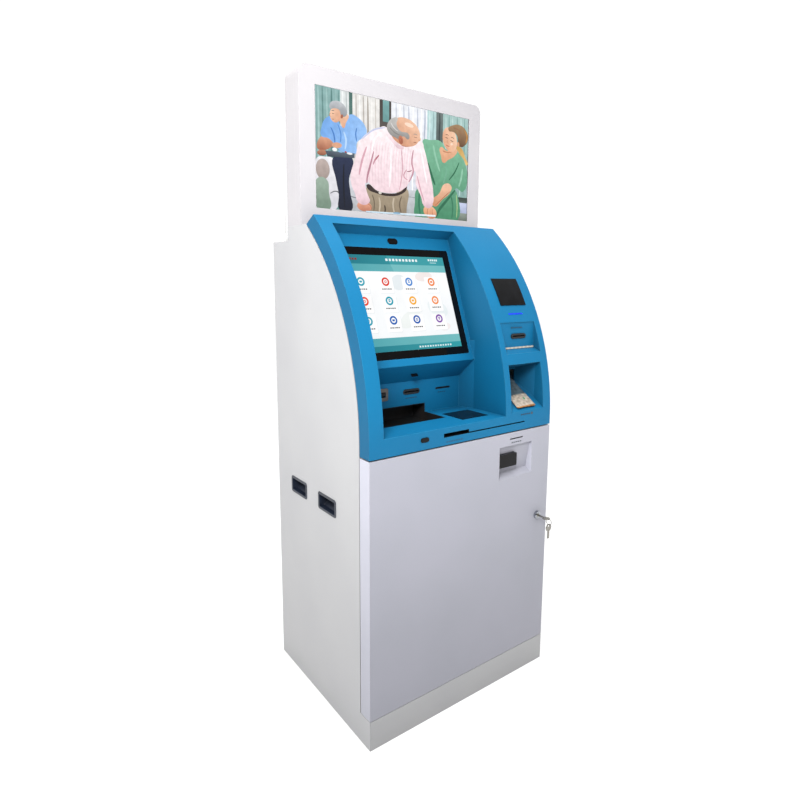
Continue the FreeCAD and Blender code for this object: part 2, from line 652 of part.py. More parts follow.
node("cash_cassettes", group("cassettes", cassettes))


def power_inlet():
    """Mains inlet: a flanged body with a cup and three pins."""
    body = block("inlet_body", centred("inlet_x", "inlet_width - 2 * play"),
                 (f"{REAR} - inlet_depth", REAR), centred("inlet_level", "inlet_tall - 2 * play"))
    face = block("inlet_face_plate", centred("inlet_x", "inlet_width + 2 * inlet_rim"),
                 (REAR, f"{REAR} + inlet_face"),
                 centred("inlet_level", "inlet_tall + 2 * inlet_rim"))
    cup = block("inlet_cup", centred("inlet_x", "inlet_cup_width"),
                (f"{REAR} - inlet_cup_depth", f"{REAR} + inlet_face + through"),
                centred("inlet_level", "inlet_cup_tall"))
    pins = [block(f"inlet_pin_{step}", centred(f"inlet_x + {step} * inlet_pitch", "inlet_pin"),
                  (f"{REAR} - inlet_cup_depth - through",
                   f"{REAR} - inlet_cup_depth + inlet_pin_length"),
                  centred("inlet_level", "inlet_pin_tall")) for step in (-1, 0, 1)]
    shell = cut("inlet_shell", joined("inlet_whole", [body, face]), [cup])
    node("power_inlet", joined("inlet", [shell, *pins]))


power_inlet()


def cooling_fan():
    """Square frame with a round duct, and a rotor that turns in it."""
    half = "(fan_size / 2)"
    hub_length = "(fan_depth - 2 * (fan_floor + fan_gap))"
    back = (f"{PANEL_REAR} - fan_depth", PANEL_REAR)
    frame = plate("fan_frame_plate", (f"-{half}", half), back,
                  (f"fan_level - {half}", f"fan_level + {half}"), "fan_corner")
    duct = rod("fan_duct", "Y", ("0", f"{back[0]} - through", "fan_level"),
               "fan_size / 2 - fan_ring", "fan_depth + 2 * through")
    floor = (back[0], f"{back[0]} + fan_floor")
    spokes = [block("fan_spoke_x", (f"fan_ring / 2 - {half}", f"{half} - fan_ring / 2"), floor,
                    centred("fan_level", "fan_spoke")),
              block("fan_spoke_z", centred("0", "fan_spoke"), floor,
                    (f"fan_level - {half} + fan_ring / 2", f"fan_level + {half} - fan_ring / 2"))]
    seat = rod("fan_seat", "Y", ("0", back[0], "fan_level"), "fan_hub - 2", "fan_floor")
    shaft = rod("fan_shaft_rod", "Y", ("0", back[0], "fan_level"), "fan_shaft", hub_length)
    node("fan_frame", joined("fan_body", [cut("fan_ring", frame, [duct]), *spokes, seat, shaft]))
    hub_start = f"({back[0]} + fan_floor + fan_gap)"
    hub = rod("fan_hub_body", "Y", ("0", hub_start, "fan_level"), "fan_hub", hub_length)
    bore = rod("fan_bore", "Y", ("0", f"{hub_start} - through", "fan_level"),
               "fan_shaft + pin_play", f"{hub_length} - 2 * through")
    blades = []
    count = int(value("fan_blades"))
    for step in range(count):
        blade = doc.addObject("Part::Box", f"fan_blade_{step}")
        bind(blade, "Length", "fan_size / 2 - fan_tip - fan_hub + fan_floor")
        bind(blade, "Width", f"{hub_length} - 2 * blade_sheet")
        bind(blade, "Height", "blade_sheet")
        turn = Rotation(Vector(0, 1, 0), 360 * step / count)
        reach = turn.multVec(Vector(value("fan_hub - fan_floor"), 0, 0))
        blade.Placement = Placement(
            Vector(reach.x, value(f"{hub_start} + blade_sheet"), value("fan_level") + reach.z), turn)
        blades.append(blade)
    node("fan_rotor", cut("rotor", joined("rotor_whole", [hub, *blades]), [bore]))


cooling_fan()

# ---- display on top ----

DISPLAY_Y = (f"{STEP_FRONT} - display_depth", STEP_FRONT)
DISPLAY_TOP = "(cabinet_height + display_height)"
BEZEL_REAR = f"({DISPLAY_Y[0]} + bezel_depth)"


def display():
    """Front bezel, glass pane, panel, rear cover and mounting bracket."""
    outer = [(LEFT, "cabinet_height"), (RIGHT, "cabinet_height"), (RIGHT, DISPLAY_TOP),
             (LEFT, DISPLAY_TOP)]
    top = value(DISPLAY_TOP)

    def rounded_top(owner):
        base = owner.Tip
        edges = [f"Edge{place}" for place, edge in enumerate(base.Shape.Edges, start=1)
                 if len(edge.Vertexes) == 2 and abs(edge.tangentAt(edge.FirstParameter).y) > 0.99
                 and abs(edge.CenterOfMass.z - top) < 0.01]
        fillet = owner.newObject("PartDesign::Fillet", f"{owner.Name}_round")
        fillet.Base = (base, edges)
        bind(fillet, "Radius", "display_corner")
        doc.recompute()
        return owner

    front = rounded_top(prism("bezel_block", "XZ_Plane", outer, DISPLAY_Y[0], BEZEL_REAR))
    rear_face = value(BEZEL_REAR)
    hollow(front, "display_wall", lambda face: abs(face.CenterOfMass.y - rear_face) < 0.01)
    view_x = (f"{LEFT} + display_margin", f"{RIGHT} - display_margin")
    view_z = ("cabinet_height + display_margin", f"{DISPLAY_TOP} - display_margin")
    front_wall = (DISPLAY_Y[0], f"{DISPLAY_Y[0]} + display_wall")
    window = block("view_opening", view_x, widened(front_wall, "through"), view_z)
    node("display_bezel", cut("bezel", front, [window]))
    pane_y = f"({DISPLAY_Y[0]} + display_wall + play)"
    pane_x = widened(view_x, "pane_rim")
    pane_z = widened(view_z, "pane_rim")
    node("display_glass", block("pane", pane_x, (pane_y, f"{pane_y} + pane_sheet"), pane_z))
    panel_y = f"({pane_y} + pane_sheet + play)"
    node("display_panel", block("advert_panel", widened(pane_x, "panel_rim"),
                                (panel_y, f"{panel_y} + panel_depth"), widened(pane_z, "panel_rim")))
    rear = rounded_top(prism("cover_block", "XZ_Plane", outer, BEZEL_REAR, DISPLAY_Y[1]))
    hollow(rear, "display_wall", lambda face: abs(face.CenterOfMass.y - rear_face) < 0.01)
    vents = [block(f"display_vent_{step}", centred("0", "vent_width"),
                   widened((f"{DISPLAY_Y[1]} - display_wall", DISPLAY_Y[1]), "through"),
                   centred(f"{DISPLAY_TOP} - vent_drop - {step} * vent_pitch", "vent_tall"))
             for step in range(int(value("vent_count")))]
    node("display_rear_cover", cut("rear_cover", rear, vents))
    back = (f"{panel_y} + panel_depth", f"{panel_y} + panel_depth + bracket_sheet")
    face = block("bracket_face", centred("0", "bracket_width"), back,
                 ("cabinet_height + bracket_foot", f"{DISPLAY_TOP} - bracket_head"))
    foot_y = (back[0], f"{DISPLAY_Y[1]} - display_wall - play")
    arms = [block(f"bracket_arm_{side}",
                  centred(f"{side} * (bracket_width - bracket_arm) / 2", "bracket_arm"), foot_y,
                  ("cabinet_height + bracket_foot", f"{DISPLAY_TOP} - bracket_head")) for side in (-1, 1)]
    node("display_bracket", joined("bracket", [face, *arms]))


display()

# ---- antenna on the rear step ----

ANTENNA = (f"({LEFT} + antenna_side)", f"({REAR} - antenna_inset)")
ANTENNA_TOP = "(step_height + antenna_base_tall)"


def antenna():
    """Fixed screw base with a fork, and a rod that tilts in it."""
    base = rod("antenna_foot", "Z", (*ANTENNA, "step_height"), "antenna_base_radius",
               "antenna_base_tall")
    ear_z = (f"{ANTENNA_TOP} - through", f"{ANTENNA_TOP} + ear_tall + through")
    ears = [block(f"antenna_ear_{side}", centred(ANTENNA[0], "ear_width"),
                  centred(f"{ANTENNA[1]} + {side} * ear_place", "ear_sheet"), ear_z)
            for side in (-1, 1)]
    pin_z = f"({ANTENNA_TOP} + antenna_pin_rise)"
    pin = rod("antenna_pin_rod", "Y", (ANTENNA[0], f"{ANTENNA[1]} - ear_place", pin_z),
              "antenna_pin", "2 * ear_place")
    node("antenna_base", joined("antenna_fork", [base, *ears, pin]))
    knuckle = block("antenna_knuckle_block", centred(ANTENNA[0], "antenna_knuckle"),
                    centred(ANTENNA[1], "antenna_knuckle"),
                    (f"{ANTENNA_TOP} + knuckle_low", f"{ANTENNA_TOP} + knuckle_high"))
    bore = rod("antenna_bore", "Y", (ANTENNA[0], f"{ANTENNA[1]} - antenna_knuckle", pin_z),
               "antenna_pin + pin_play", "2 * antenna_knuckle")
    whip = rod("antenna_whip", "Z", (*ANTENNA, f"{ANTENNA_TOP} + whip_low"), "antenna_radius",
               "antenna_length - antenna_base_tall - whip_low")
    stick = cut("antenna_stick", joined("antenna_rod_whole", [knuckle, whip]), [bore])
    node("antenna_rod", stick)


antenna()

# ---- door ----

DOOR_REAR = behind("return_depth")
DOOR_BACK = behind("sheet")


def door():
    """Folded door pan with openings for the scoop, the receipt slot, the lock and the pivots."""
    pan = prism("door_pan", "XZ_Plane", rectangle((LEFT, RIGHT), ("door_bottom", DOOR_TOP)),
                FRONT, DOOR_REAR)
    rear = value(DOOR_REAR)
    hollow(pan, "sheet", lambda face: abs(face.CenterOfMass.y - rear) < 0.01)
    through = widened((FRONT, DOOR_BACK), "through")
    tools = [
        block("scoop_opening", SCOOP_X, through, SCOOP_Z),
        block("receipt_opening", centred("receipt_x", "receipt_width"), through,
              centred("receipt_level", "receipt_tall")),
        rod("lock_hole", "Y", ("lock_x", f"{FRONT} - through", "lock_level"),
            "lock_radius + play", "sheet + 2 * through"),
        rod("pivot_holes", "Z", (f"{LEFT} + pivot_inset", behind("return_depth - pivot_inset"),
                                 "door_bottom - through"), "pivot_radius + pin_play",
            "door_height + 2 * through"),
    ]
    node("front_door", cut("door_cut", pan, tools))
    strip_x = centred("stiffener_x", "stiffener_width")
    strip_z = ("door_bottom + stiffener_end", f"{DOOR_TOP} - stiffener_end")
    crown = block("stiffener_crown", strip_x,
                  (f"{DOOR_BACK} + stiffener_depth - sheet", f"{DOOR_BACK} + stiffener_depth"),
                  strip_z)
    webs = [block(f"stiffener_web_{side}",
                  centred(f"stiffener_x + {side} * (stiffener_width - sheet) / 2", "sheet"),
                  (DOOR_BACK, f"{DOOR_BACK} + stiffener_depth"), strip_z)
            for side in (-1, 1)]
    node("door_stiffener", joined("stiffener", [crown, *webs]))


SCOOP_X = ("scoop_start", "(scoop_start + scoop_width)")
SCOOP_Z = ("scoop_low", "(scoop_low + scoop_tall)")
door()


def scoop():
    """Shallow leaning tray in the door with the code scanner's window standing in it."""
    front = f"({DOOR_BACK} + play)"
    cavity = prism("scoop_tray_pan", "YZ_Plane", [
        (front, SCOOP_Z[0]),
        (behind("scoop_deep"), f"{SCOOP_Z[0]} + scoop_toe"),
        (behind("scoop_shallow"), SCOOP_Z[1]),
        (front, SCOOP_Z[1]),
    ], SCOOP_X[0], SCOOP_X[1])
    front_face = value(front)
    hollow(cavity, "liner_wall", lambda face: abs(face.CenterOfMass.y - front_face) < 0.01, True)
    across = centred("code_x", "code_width")
    up = centred("code_level", "code_tall")
    room = block("code_room", widened(across, "play"),
                 (behind("sheet + play + through"), behind("2 * code_depth")),
                 widened(up, "play"))
    node("scoop_tray", cut("scoop_cut", cavity, [room]))
    node("code_scanner", plate("code_body", across, (behind("through"), behind("code_depth")), up,
                               "unit_corner"))


scoop()


def receipt_printer():
    """Small thermal printer behind the door: an open case, a spindle and a turning roll."""
    middle_x = "(receipt_x + printer_shift)"
    low = "(receipt_level - printer_tall + printer_rise)"
    front = behind("code_depth + printer_floor")
    rear = behind("printer_depth")
    middle_y = f"(({front} + {rear}) / 2)"
    middle_z = f"({low} + 2 * printer_floor + roll_radius)"
    roll_start = f"({middle_x} - roll_width / 2)"
    case = block("ticket_case", centred(middle_x, "printer_width"), (front, rear),
                 (low, f"{low} + printer_tall"))
    throat = block("ticket_throat", centred("receipt_x", "receipt_width + 2 * printer_floor"),
                   (DOOR_BACK, front),
                   (f"{SCOOP_Z[1]} + liner_wall + play + through", "receipt_level + scoop_shallow"))
    slot = block("ticket_slot", centred("receipt_x", "receipt_width"),
                 (FRONT, f"{front} + roll_radius"), centred("receipt_level", "receipt_tall - 1"))
    bay = block("roll_bay", centred(middle_x, "roll_width + 2 * roll_room"),
                centred(middle_y, "2 * (roll_radius + roll_room)"),
                (f"{low} + printer_floor", f"{low} + printer_tall + through"))
    spindle = rod("roll_spindle", "X", (f"{roll_start} - 2 * roll_room", middle_y, middle_z),
                  "roll_core - 1", "roll_width + 4 * roll_room")
    shell = cut("ticket_shell", joined("ticket_whole", [case, throat]), [slot, bay])
    node("receipt_printer", joined("ticket_printer", [shell, spindle]))
    roll = rod("roll_body", "X", (roll_start, middle_y, middle_z), "roll_radius", "roll_width")
    bore = rod("roll_bore", "X", (f"{roll_start} - through", middle_y, middle_z),
               "roll_core - 1 + pin_play", "roll_width + 2 * through")
    node("paper_roll", cut("roll", roll, [bore]))


receipt_printer()


def door_lock():
    """Cam lock: a barrel in the door, a key and plug that turn the cam, and a spare key."""
    x, z = "lock_x", "lock_level"
    head = rod("lock_head_disc", "Y", (x, f"{FRONT} - lock_proud", z), "lock_head", "lock_proud")
    barrel = rod("lock_barrel", "Y", (x, f"{FRONT} - lock_proud", z), "lock_radius",
                 "lock_proud + lock_length")
    bore = rod("lock_bore", "Y", (x, f"{FRONT} - lock_proud - through", z),
               "plug_radius + pin_play", "lock_proud + lock_length + 2 * through")
    nut = rod("lock_nut_disc", "Y", (x, DOOR_BACK, z), "lock_head", "lock_nut")
    node("door_lock", cut("lock", joined("lock_whole", [head, barrel, nut]), [bore]))
    plug = rod("lock_plug", "Y", (x, f"{FRONT} - lock_proud - play", z), "plug_radius",
               "lock_proud + lock_length + play")
    blade_y = (f"{FRONT} - lock_proud - key_shank", f"{FRONT} - lock_proud")
    shank = block("key_shank_blade", centred(x, "key_width"), blade_y, centred(z, "key_sheet"))
    bow_y = f"({BOW_EDGE} + key_bow)"
    bow = rod("key_bow_disc", "Z", (x, bow_y, f"{z} - key_sheet / 2"), "key_bow", "key_sheet")
    hole = rod("key_bow_hole", "Z", (x, f"{BOW_EDGE} + bow_rim + key_hole", f"{z} - key_sheet"),
               "key_hole", "key_sheet * 2")
    node("lock_key", cut("key_plug", joined("key_whole", [plug, shank, bow]), [hole]))
    cam_y = (behind("lock_length"), behind("lock_length + cam_sheet"))
    node("lock_cam", plate("cam", centred(x, "cam_width"), cam_y,
                           (f"{z} - cam_length", f"{z} + cam_width / 2"), "unit_corner"))


# outer edge of the bow of the key that stands in the lock
BOW_EDGE = "(-depth / 2 - lock_proud - key_shank - 2 * key_bow + bow_rim + through)"
door_lock()


def spare_key():
    """Split ring over the outer edge of the bow's hole, with a spare key hanging on it."""
    ring_y = f"({BOW_EDGE} + bow_rim / 2)"
    # the ring's inside rests on the bow's rim, and the spare bow's hole rests on the ring
    inside = "(key_ring - ring_wire)"
    drop = f"sqrt({inside}^2 - (bow_rim / 2)^2)"
    ring_z = f"(lock_level + key_sheet / 2 + play / 2 - {drop})"
    ring = doc.addObject("Part::Torus", "ring_torus")
    bind(ring, "Radius1", "key_ring")
    bind(ring, "Radius2", "ring_wire")
    ring.Placement = Placement(Vector(), Rotation(Vector(0, 1, 0), 90))
    bind(ring, "Placement.Base.x", "lock_x")
    bind(ring, "Placement.Base.y", ring_y)
    bind(ring, "Placement.Base.z", ring_z)
    hole_z = f"({ring_z} - {inside} + play / 2 - key_hole)"
    bow_z = f"({hole_z} + key_hole + bow_rim - key_bow)"
    bow = rod("spare_bow", "Y", ("lock_x", f"{ring_y} - key_sheet / 2", bow_z), "key_bow",
              "key_sheet")
    hole = rod("spare_hole", "Y", ("lock_x", f"{ring_y} - key_sheet", hole_z), "key_hole",
               "key_sheet * 2")
    blade = block("spare_blade", centred("lock_x", "key_width"), centred(ring_y, "key_sheet"),
                  (f"{bow_z} - key_bow - key_shank", f"{bow_z} - key_bow + bow_rim"))
    key = cut("spare_key_cut", joined("spare_whole", [bow, blade]), [hole])
    node("spare_key", group("spare", [ring, key]))


spare_key()

# ---- hood ----

RECESS_X = ("recess_start", "recess_end")
PANEL_FOOT = (behind("panel_inset"), "panel_level")
PANEL_HEAD = (behind("panel_inset + panel_length * sin(screen_tilt)"),
              "(panel_level + panel_length * cos(screen_tilt))")
LINER_INSET = "(hood_wall + liner_play)"
CURVE_IN = f"(hood_radius - {LINER_INSET})"
NICHE_X = centred("column_x", "niche_width")
OUTLET_X = centred("outlet_x", "outlet_width")
HINGE = (f"({skin('cabinet_height', 'return_depth')} - hinge_inset)",
         "(cabinet_height + hinge_level)")
STAY_Y = skin("stay_level", "return_depth / 2")
CROWN_LEVEL = "(cabinet_height - crown_lap)"
CROWN_REAR = skin(CROWN_LEVEL, "return_depth")


def hood_shell():
    """Curved sheet skin with returns; every opening of the fascia is cut through it."""
    points = [
        (FRONT, HOOD_LOW),
        (DOOR_REAR, HOOD_LOW),
        (DOOR_REAR, ARC_LEVEL, "hood_radius - return_depth"),
        (CROWN_REAR, CROWN_LEVEL),
        (skin(HOOD_HIGH), HOOD_HIGH, "hood_radius"),
        (FRONT, ARC_LEVEL),
    ]
    shell = prism("hood_pan", "YZ_Plane", points, LEFT, RIGHT)
    radius = value("hood_radius - return_depth")
    rear = value(DOOR_REAR)

    def at_rear(face):
        if isinstance(face.Surface, Part.Cylinder):
            return abs(face.Surface.Radius - radius) < 0.01
        return abs(face.CenterOfMass.y - rear) < 0.01 and abs(face.CenterOfMass.x) < 0.01

    hollow(shell, "hood_wall", at_rear)
    deep = (f"{FRONT} - through", behind("shelf_depth"))
    lip = (f"{FRONT} - through", behind("slot_tall + slot_rise"))
    whole = (f"{FRONT} - through", behind("panel_inset + panel_length * sin(screen_tilt)"))
    tools = [
        block("recess_opening", RECESS_X, whole, ("shelf_level", "recess_top")),
        block("niche_opening", NICHE_X, deep, ("niche_low", "niche_high")),
        block("outlet_opening", OUTLET_X, deep, ("outlet_low", "outlet_high")),
        block("window_opening", centred("column_x + window_shift", "window_width - 2 * window_lap"),
              deep, ("window_level + window_lap", "window_level + window_tall - window_lap")),
        plate("sensor_opening", centred("sensor_x", "sensor_width"), lip,
              centred("lip_level", "sensor_tall"), "sensor_tall / 2 - lens_gap"),
        block("slot_opening", SLOT_X, lip, SLOT_Z),
        block("slot_step_opening", SLOT_STEP_X, lip, SLOT_STEP_Z),
    ]
    boss = rod("stay_boss_pin", "X", (f"{LEFT} + hood_wall", STAY_Y, "stay_level"), "stay_boss",
               "stay_inset - hood_wall + stay_eye")
    node("hood_shell", joined("hood_whole", [cut("hood_cut", shell, tools), boss]))


SLOT_X = (f"({LEFT} + slot_left)", f"({LEFT} + slot_left + slot_width)")
SLOT_Z = centred("lip_level - slot_drop", "slot_tall")
SLOT_STEP_X = (SLOT_X[0], f"({SLOT_X[0]} + slot_step)")
SLOT_STEP_Z = (SLOT_Z[0], "(lip_level + slot_rise)")
hood_shell()


def cavity_points(low, high, inner):
    """Profile of a pocket whose mouth is an arc just behind the hood's skin."""
    return [(skin(low, LINER_INSET), low), *inner, (skin(high, LINER_INSET), high, CURVE_IN)]


def behind_skin(face):
    return isinstance(face.Surface, Part.Cylinder)


RECESS_POINTS = cavity_points("shelf_level", "recess_top", [
    (behind("shelf_depth"), "shelf_level"),
    (behind("shelf_depth"), "shelf_level + back_height"),
    PANEL_FOOT,
    PANEL_HEAD,
])


def tapered(name, liner, cavity, corner_x, front_y, back_y, taper):
    """Liner with one side wall leaning inwards towards the back of its pocket."""
    low, high = "lip_level", "panel_level + taper_rise"
    wedge = prism(f"{name}_wedge", "XY_Plane", [
        (corner_x, front_y), (corner_x, back_y), (f"{corner_x} + {taper}", back_y)], low, high)
    return joined(name, [liner, shared(f"{name}_fit", wedge, cavity)])


def recess_liner():
    """Bent blue liner of the main recess: shelf, back wall, ceiling and the screen's panel."""
    cavity = prism("recess_cavity", "YZ_Plane", RECESS_POINTS, RECESS_X[0], RECESS_X[1])
    liner = prism("recess_pan", "YZ_Plane", RECESS_POINTS, RECESS_X[0], RECESS_X[1])
    hollow(liner, "liner_wall", behind_skin, True)
    whole = tapered("recess_bevel", liner, cavity, RECESS_X[1], behind("panel_inset"),
                    behind("shelf_depth"), "-recess_taper")
    wall = (behind("shelf_depth - through"), behind("shelf_depth + liner_wall + through"))
    sheet_z = ("shelf_level - liner_wall - through", "shelf_level + through")
    panel_y = ("-through", "2 * liner_wall")
    tools = [
        on_screen_panel(plate("glass_opening", widened(GLASS_X, "play"), panel_y,
                              widened(GLASS_T, "play"), "glass_corner")),
        on_screen_panel(plate("camera_opening", widened(CAMERA_X, "play"), panel_y,
                              widened(CAMERA_T, "play"), "camera_tall / 2 - lens_gap")),
        plate("card_opening", widened(CARD_X, "play"), wall, widened(CARD_Z, "play"),
              "card_tall / 2 - lens_gap"),
        block("ticket_opening", widened(TICKET_X, "play"), wall, widened(TICKET_Z, "play")),
        block("finger_opening", widened(FINGER_X, "play - unit_corner"), wall,
              widened(FINGER_Z, "play - unit_corner")),
        block("pocket_wall_opening", POCKET_X, wall, (sheet_z[0], "pocket_top")),
        block("pocket_shelf_opening", POCKET_X, (behind("pocket_front"), wall[1]), sheet_z),
        block("scanner_opening", widened(SCANNER_X, "play"), widened(SCANNER_Y, "play"), sheet_z),
    ]
    node("recess_liner", cut("recess_cut", whole, tools))


GLASS_X = ("(recess_start + glass_side)", "(recess_end - glass_side)")
GLASS_T = ("glass_foot", "(glass_foot + glass_height)")
CAMERA_X = centred("camera_x", "camera_across")
CAMERA_T = centred("camera_rise", "camera_tall")
CARD_X = centred("card_x", "card_width")
CARD_Z = centred("unit_level", "card_tall")
TICKET_X = centred("ticket_x", "ticket_width")
TICKET_Z = centred("unit_level", "ticket_tall")
FINGER_X = centred("finger_x", "finger_width")
FINGER_Z = centred("unit_level", "finger_tall")
SCANNER_X = centred("scanner_x", "scanner_width")
POCKET_X = ("(recess_start + pocket_left)", f"({SCANNER_X[0]} - pocket_gap)")
SCANNER_Y = (behind("scanner_inset"), behind("scanner_inset + scanner_length"))
recess_liner()


def touch_screen():
    """Black-edged touch glass flush with its panel, and the monitor behind it."""
    glass = plate("glass_plate", GLASS_X, ("0", "glass_sheet"), GLASS_T, "glass_corner")
    node("touch_glass", on_screen_panel(glass))
    monitor = plate("monitor_box", widened(GLASS_X, "monitor_rim"),
                    ("glass_sheet + play", "glass_sheet + play + monitor_depth"),
                    (f"{GLASS_T[0]} - monitor_rim", f"{GLASS_T[1]} + liner_wall"), "unit_corner")
    node("touch_monitor", on_screen_panel(monitor))


touch_screen()


def camera():
    lens = plate("camera_front", CAMERA_X, ("-through", "glass_sheet"), CAMERA_T,
                 "camera_tall / 2 - lens_gap")
    body = rod("camera_tube", "Y", ("camera_x", "glass_sheet", "camera_rise"),
               "camera_tall / 2 - through", "camera_depth")
    node("camera", on_screen_panel(joined("camera_whole", [lens, body])))


camera()

WALL = behind("shelf_depth")


def card_reader():
    """Reader with a rounded mouth in the back wall."""
    mouth = plate("card_mouth", CARD_X, (f"{WALL} - sheet", f"{WALL} + mouth_lap"), CARD_Z,
                  "card_tall / 2 - lens_gap")
    body = block("card_body", widened(CARD_X, "card_rim"),
                 (f"{WALL} + liner_wall + play", f"{WALL} + card_depth"),
                 ("pocket_top + mouth_lap", "unit_level + card_tall"))
    slot = block("card_gap", centred("card_x", "card_slot"),
                 (f"{WALL} - sheet - through", f"{WALL} + card_depth - card_tall"),
                 centred("unit_level", "mouth_gap"))
    node("card_reader", cut("card_cut", joined("card_whole", [mouth, body]), [slot]))


def ticket_unit():
    """Narrow slot unit with its guide behind the back wall."""
    mouth = block("ticket_mouth", TICKET_X, (f"{WALL} - through", f"{WALL} + mouth_lap"), TICKET_Z)
    body = block("ticket_box", widened(TICKET_X, "ticket_rim"),
                 (f"{WALL} + liner_wall + play", f"{WALL} + ticket_depth"),
                 centred("unit_level", "ticket_body"))
    slot = block("ticket_slit", centred("ticket_x", "ticket_width - 2 * liner_wall"),
                 (f"{WALL} - 2 * through", f"{WALL} + ticket_depth - ticket_body"),
                 centred("unit_level", "ticket_gap"))
    node("ticket_unit", cut("ticket_cut", joined("ticket_parts", [mouth, body]), [slot]))


def fingerprint_reader():
    """Steel plate on the back wall and the sensor window set in it."""
    face = plate("finger_plate", FINGER_X, (f"{WALL} - liner_wall", WALL), FINGER_Z, "mouth_lap")
    stem = block("finger_stem", widened(FINGER_X, "-mouth_lap"), (WALL, f"{WALL} + finger_depth"),
                 widened(FINGER_Z, "-mouth_lap"))
    sensor_x = "finger_x + finger_shift"
    window = block("finger_opening_cut", centred(sensor_x, "finger_window"),
                   (f"{WALL} - liner_wall - through", f"{WALL} + mouth_gap"),
                   centred("unit_level", "finger_window"))
    plate_part = cut("finger_cut", joined("finger_whole", [face, stem]), [window])
    sensor = block("sensor_block", centred(sensor_x, "finger_window - 2 * liner_play"),
                   (f"{WALL} - through", f"{WALL} + mouth_gap"),
                   centred("unit_level", "finger_window - 2 * liner_play"))
    node("fingerprint_reader", group("finger_group", [plate_part, sensor]))


card_reader()
ticket_unit()
fingerprint_reader()


def document_pocket():
    """Black take-out pocket sunk through the shelf and the back wall."""
    inside_x = widened(POCKET_X, "-pocket_wall")
    front = block("pocket_front_box", POCKET_X, (behind("pocket_front + play"), WALL),
                  ("pocket_floor", "shelf_level - play"))
    rear = block("pocket_rear_box", POCKET_X, (WALL, behind("pocket_back")),
                 ("pocket_floor", "pocket_top - play"))
    well = block("pocket_well", inside_x,
                 (behind("pocket_front + pocket_wall"), behind("pocket_back - pocket_wall")),
                 ("pocket_floor + pocket_wall", "pocket_top - pocket_wall"))
    node("document_pocket", cut("pocket", joined("pocket_whole", [front, rear]), [well]))


def shelf_scanner():
    """Scanner whose glass lies in the shelf, with its case underneath."""
    case_top = "(shelf_level - liner_wall - play)"
    glass = block("scanner_pane", SCANNER_X, SCANNER_Y, (f"{case_top} - through",
                                                         "shelf_level + through / 2"))
    case = block("scanner_case", widened(SCANNER_X, "scanner_rim"),
                 widened(SCANNER_Y, "scanner_rim"), (f"{case_top} - scanner_depth", case_top))
    node("shelf_scanner", joined("scanner_whole", [glass, case]))


def lip_parts():
    """Oval sensor and the wide paper slot's guide, both in the front lip."""
    oval = plate("sensor_lens", widened(centred("sensor_x", "sensor_width"), "-play"),
                 (f"{FRONT} - sheet", behind("mouth_lap")),
                 widened(centred("lip_level", "sensor_tall"), "-play"), "sensor_tall / 2 - 2 * play")
    node("lip_sensor", oval)
    # the guide stays short where the scanner stands behind the lip
    duct = block("guide_box", widened(SLOT_X, "slot_tall"),
                 (behind("hood_wall + play"), behind("guide_depth")),
                 (f"{SLOT_Z[0]} - slot_tall", f"{SLOT_STEP_Z[1]} + slot_tall"))
    inside = (FRONT, behind("guide_depth - liner_wall"))
    throat = block("guide_throat", SLOT_X, inside, SLOT_Z)
    step = block("guide_step", SLOT_STEP_X, inside, SLOT_STEP_Z)
    node("paper_guide", cut("guide", duct, [throat, step]))


document_pocket()
shelf_scanner()
lip_parts()


def curved_lens(name, across, low, high, proud, sheet_size):
    """Thin cover that follows the hood's curve, standing just proud of it."""
    outer = f"(0 - {proud} - {sheet_size})"
    points = [
        (skin(low, outer), low),
        (skin(low, f"0 - {proud}"), low, f"hood_radius + {proud}"),
        (skin(high, f"0 - {proud}"), high),
        (skin(high, outer), high, f"hood_radius + {proud} + {sheet_size}"),
    ]
    return prism(name, "YZ_Plane", points, across[0], across[1])


node("column_window", curved_lens(
    "window_lens", centred("column_x + window_shift", "window_width"), "window_level",
    "(window_level + window_tall)", "lens_gap", "window_sheet"))
status_light = curved_lens("light_lens", centred("light_x", "light_width"), "light_level",
                           "(light_level + light_tall)", "lens_gap", "light_sheet")

NICHE_BACK = behind("niche_depth")


def niche():
    """Upper niche of the column: liner, reader mouth and a lit strip over its ledge."""
    points = cavity_points("niche_low", "niche_high", [
        (NICHE_BACK, "niche_low + niche_ledge"),
    ])
    liner = prism("niche_pan", "YZ_Plane", points, NICHE_X[0], NICHE_X[1])
    hollow(liner, "liner_wall", behind_skin, True)
    across = centred("mouth_x", "mouth_width")
    up = centred("mouth_level", "mouth_tall")
    hole = plate("mouth_opening", widened(across, "play"),
                 (behind("niche_depth - mouth_lap"), behind("niche_depth + 2 * mouth_lap")),
                 widened(up, "play"), "mouth_tall / 2 - lens_gap")
    node("niche_liner", cut("niche_cut", liner, [hole]))
    body_front = behind("niche_depth + mouth_lap + 3 * through")
    mouth = plate("mouth_bezel", across, (behind("niche_depth - through"), body_front), up,
                  "mouth_tall / 2 - lens_gap")
    body = block("mouth_box", widened(across, "mouth_gap"),
                 (body_front, behind("niche_depth + mouth_depth")),
                 centred("mouth_level", "mouth_body"))
    slot = block("mouth_slot", centred("mouth_x", "card_slot"),
                 (behind("niche_depth - 2 * through"),
                  behind("niche_depth + mouth_depth - 2 * mouth_lap")),
                 centred("mouth_level", "mouth_gap"))
    node("bank_card_reader", cut("mouth_cut", joined("mouth_whole", [mouth, body]), [slot]))
    strip_z = "(niche_low + niche_ledge + through)"
    strip = block("strip", widened(NICHE_X, "-mouth_gap"),
                  (f"{NICHE_BACK} - strip_sheet - play", f"{NICHE_BACK} - play"),
                  (strip_z, f"{strip_z} + strip_tall"))
    node("light_strips", group("lights", [status_light, strip]))


niche()

OUTLET_BACK = behind("outlet_depth")
OUTLET_FLOOR = "(outlet_low + outlet_depth * outlet_fall)"


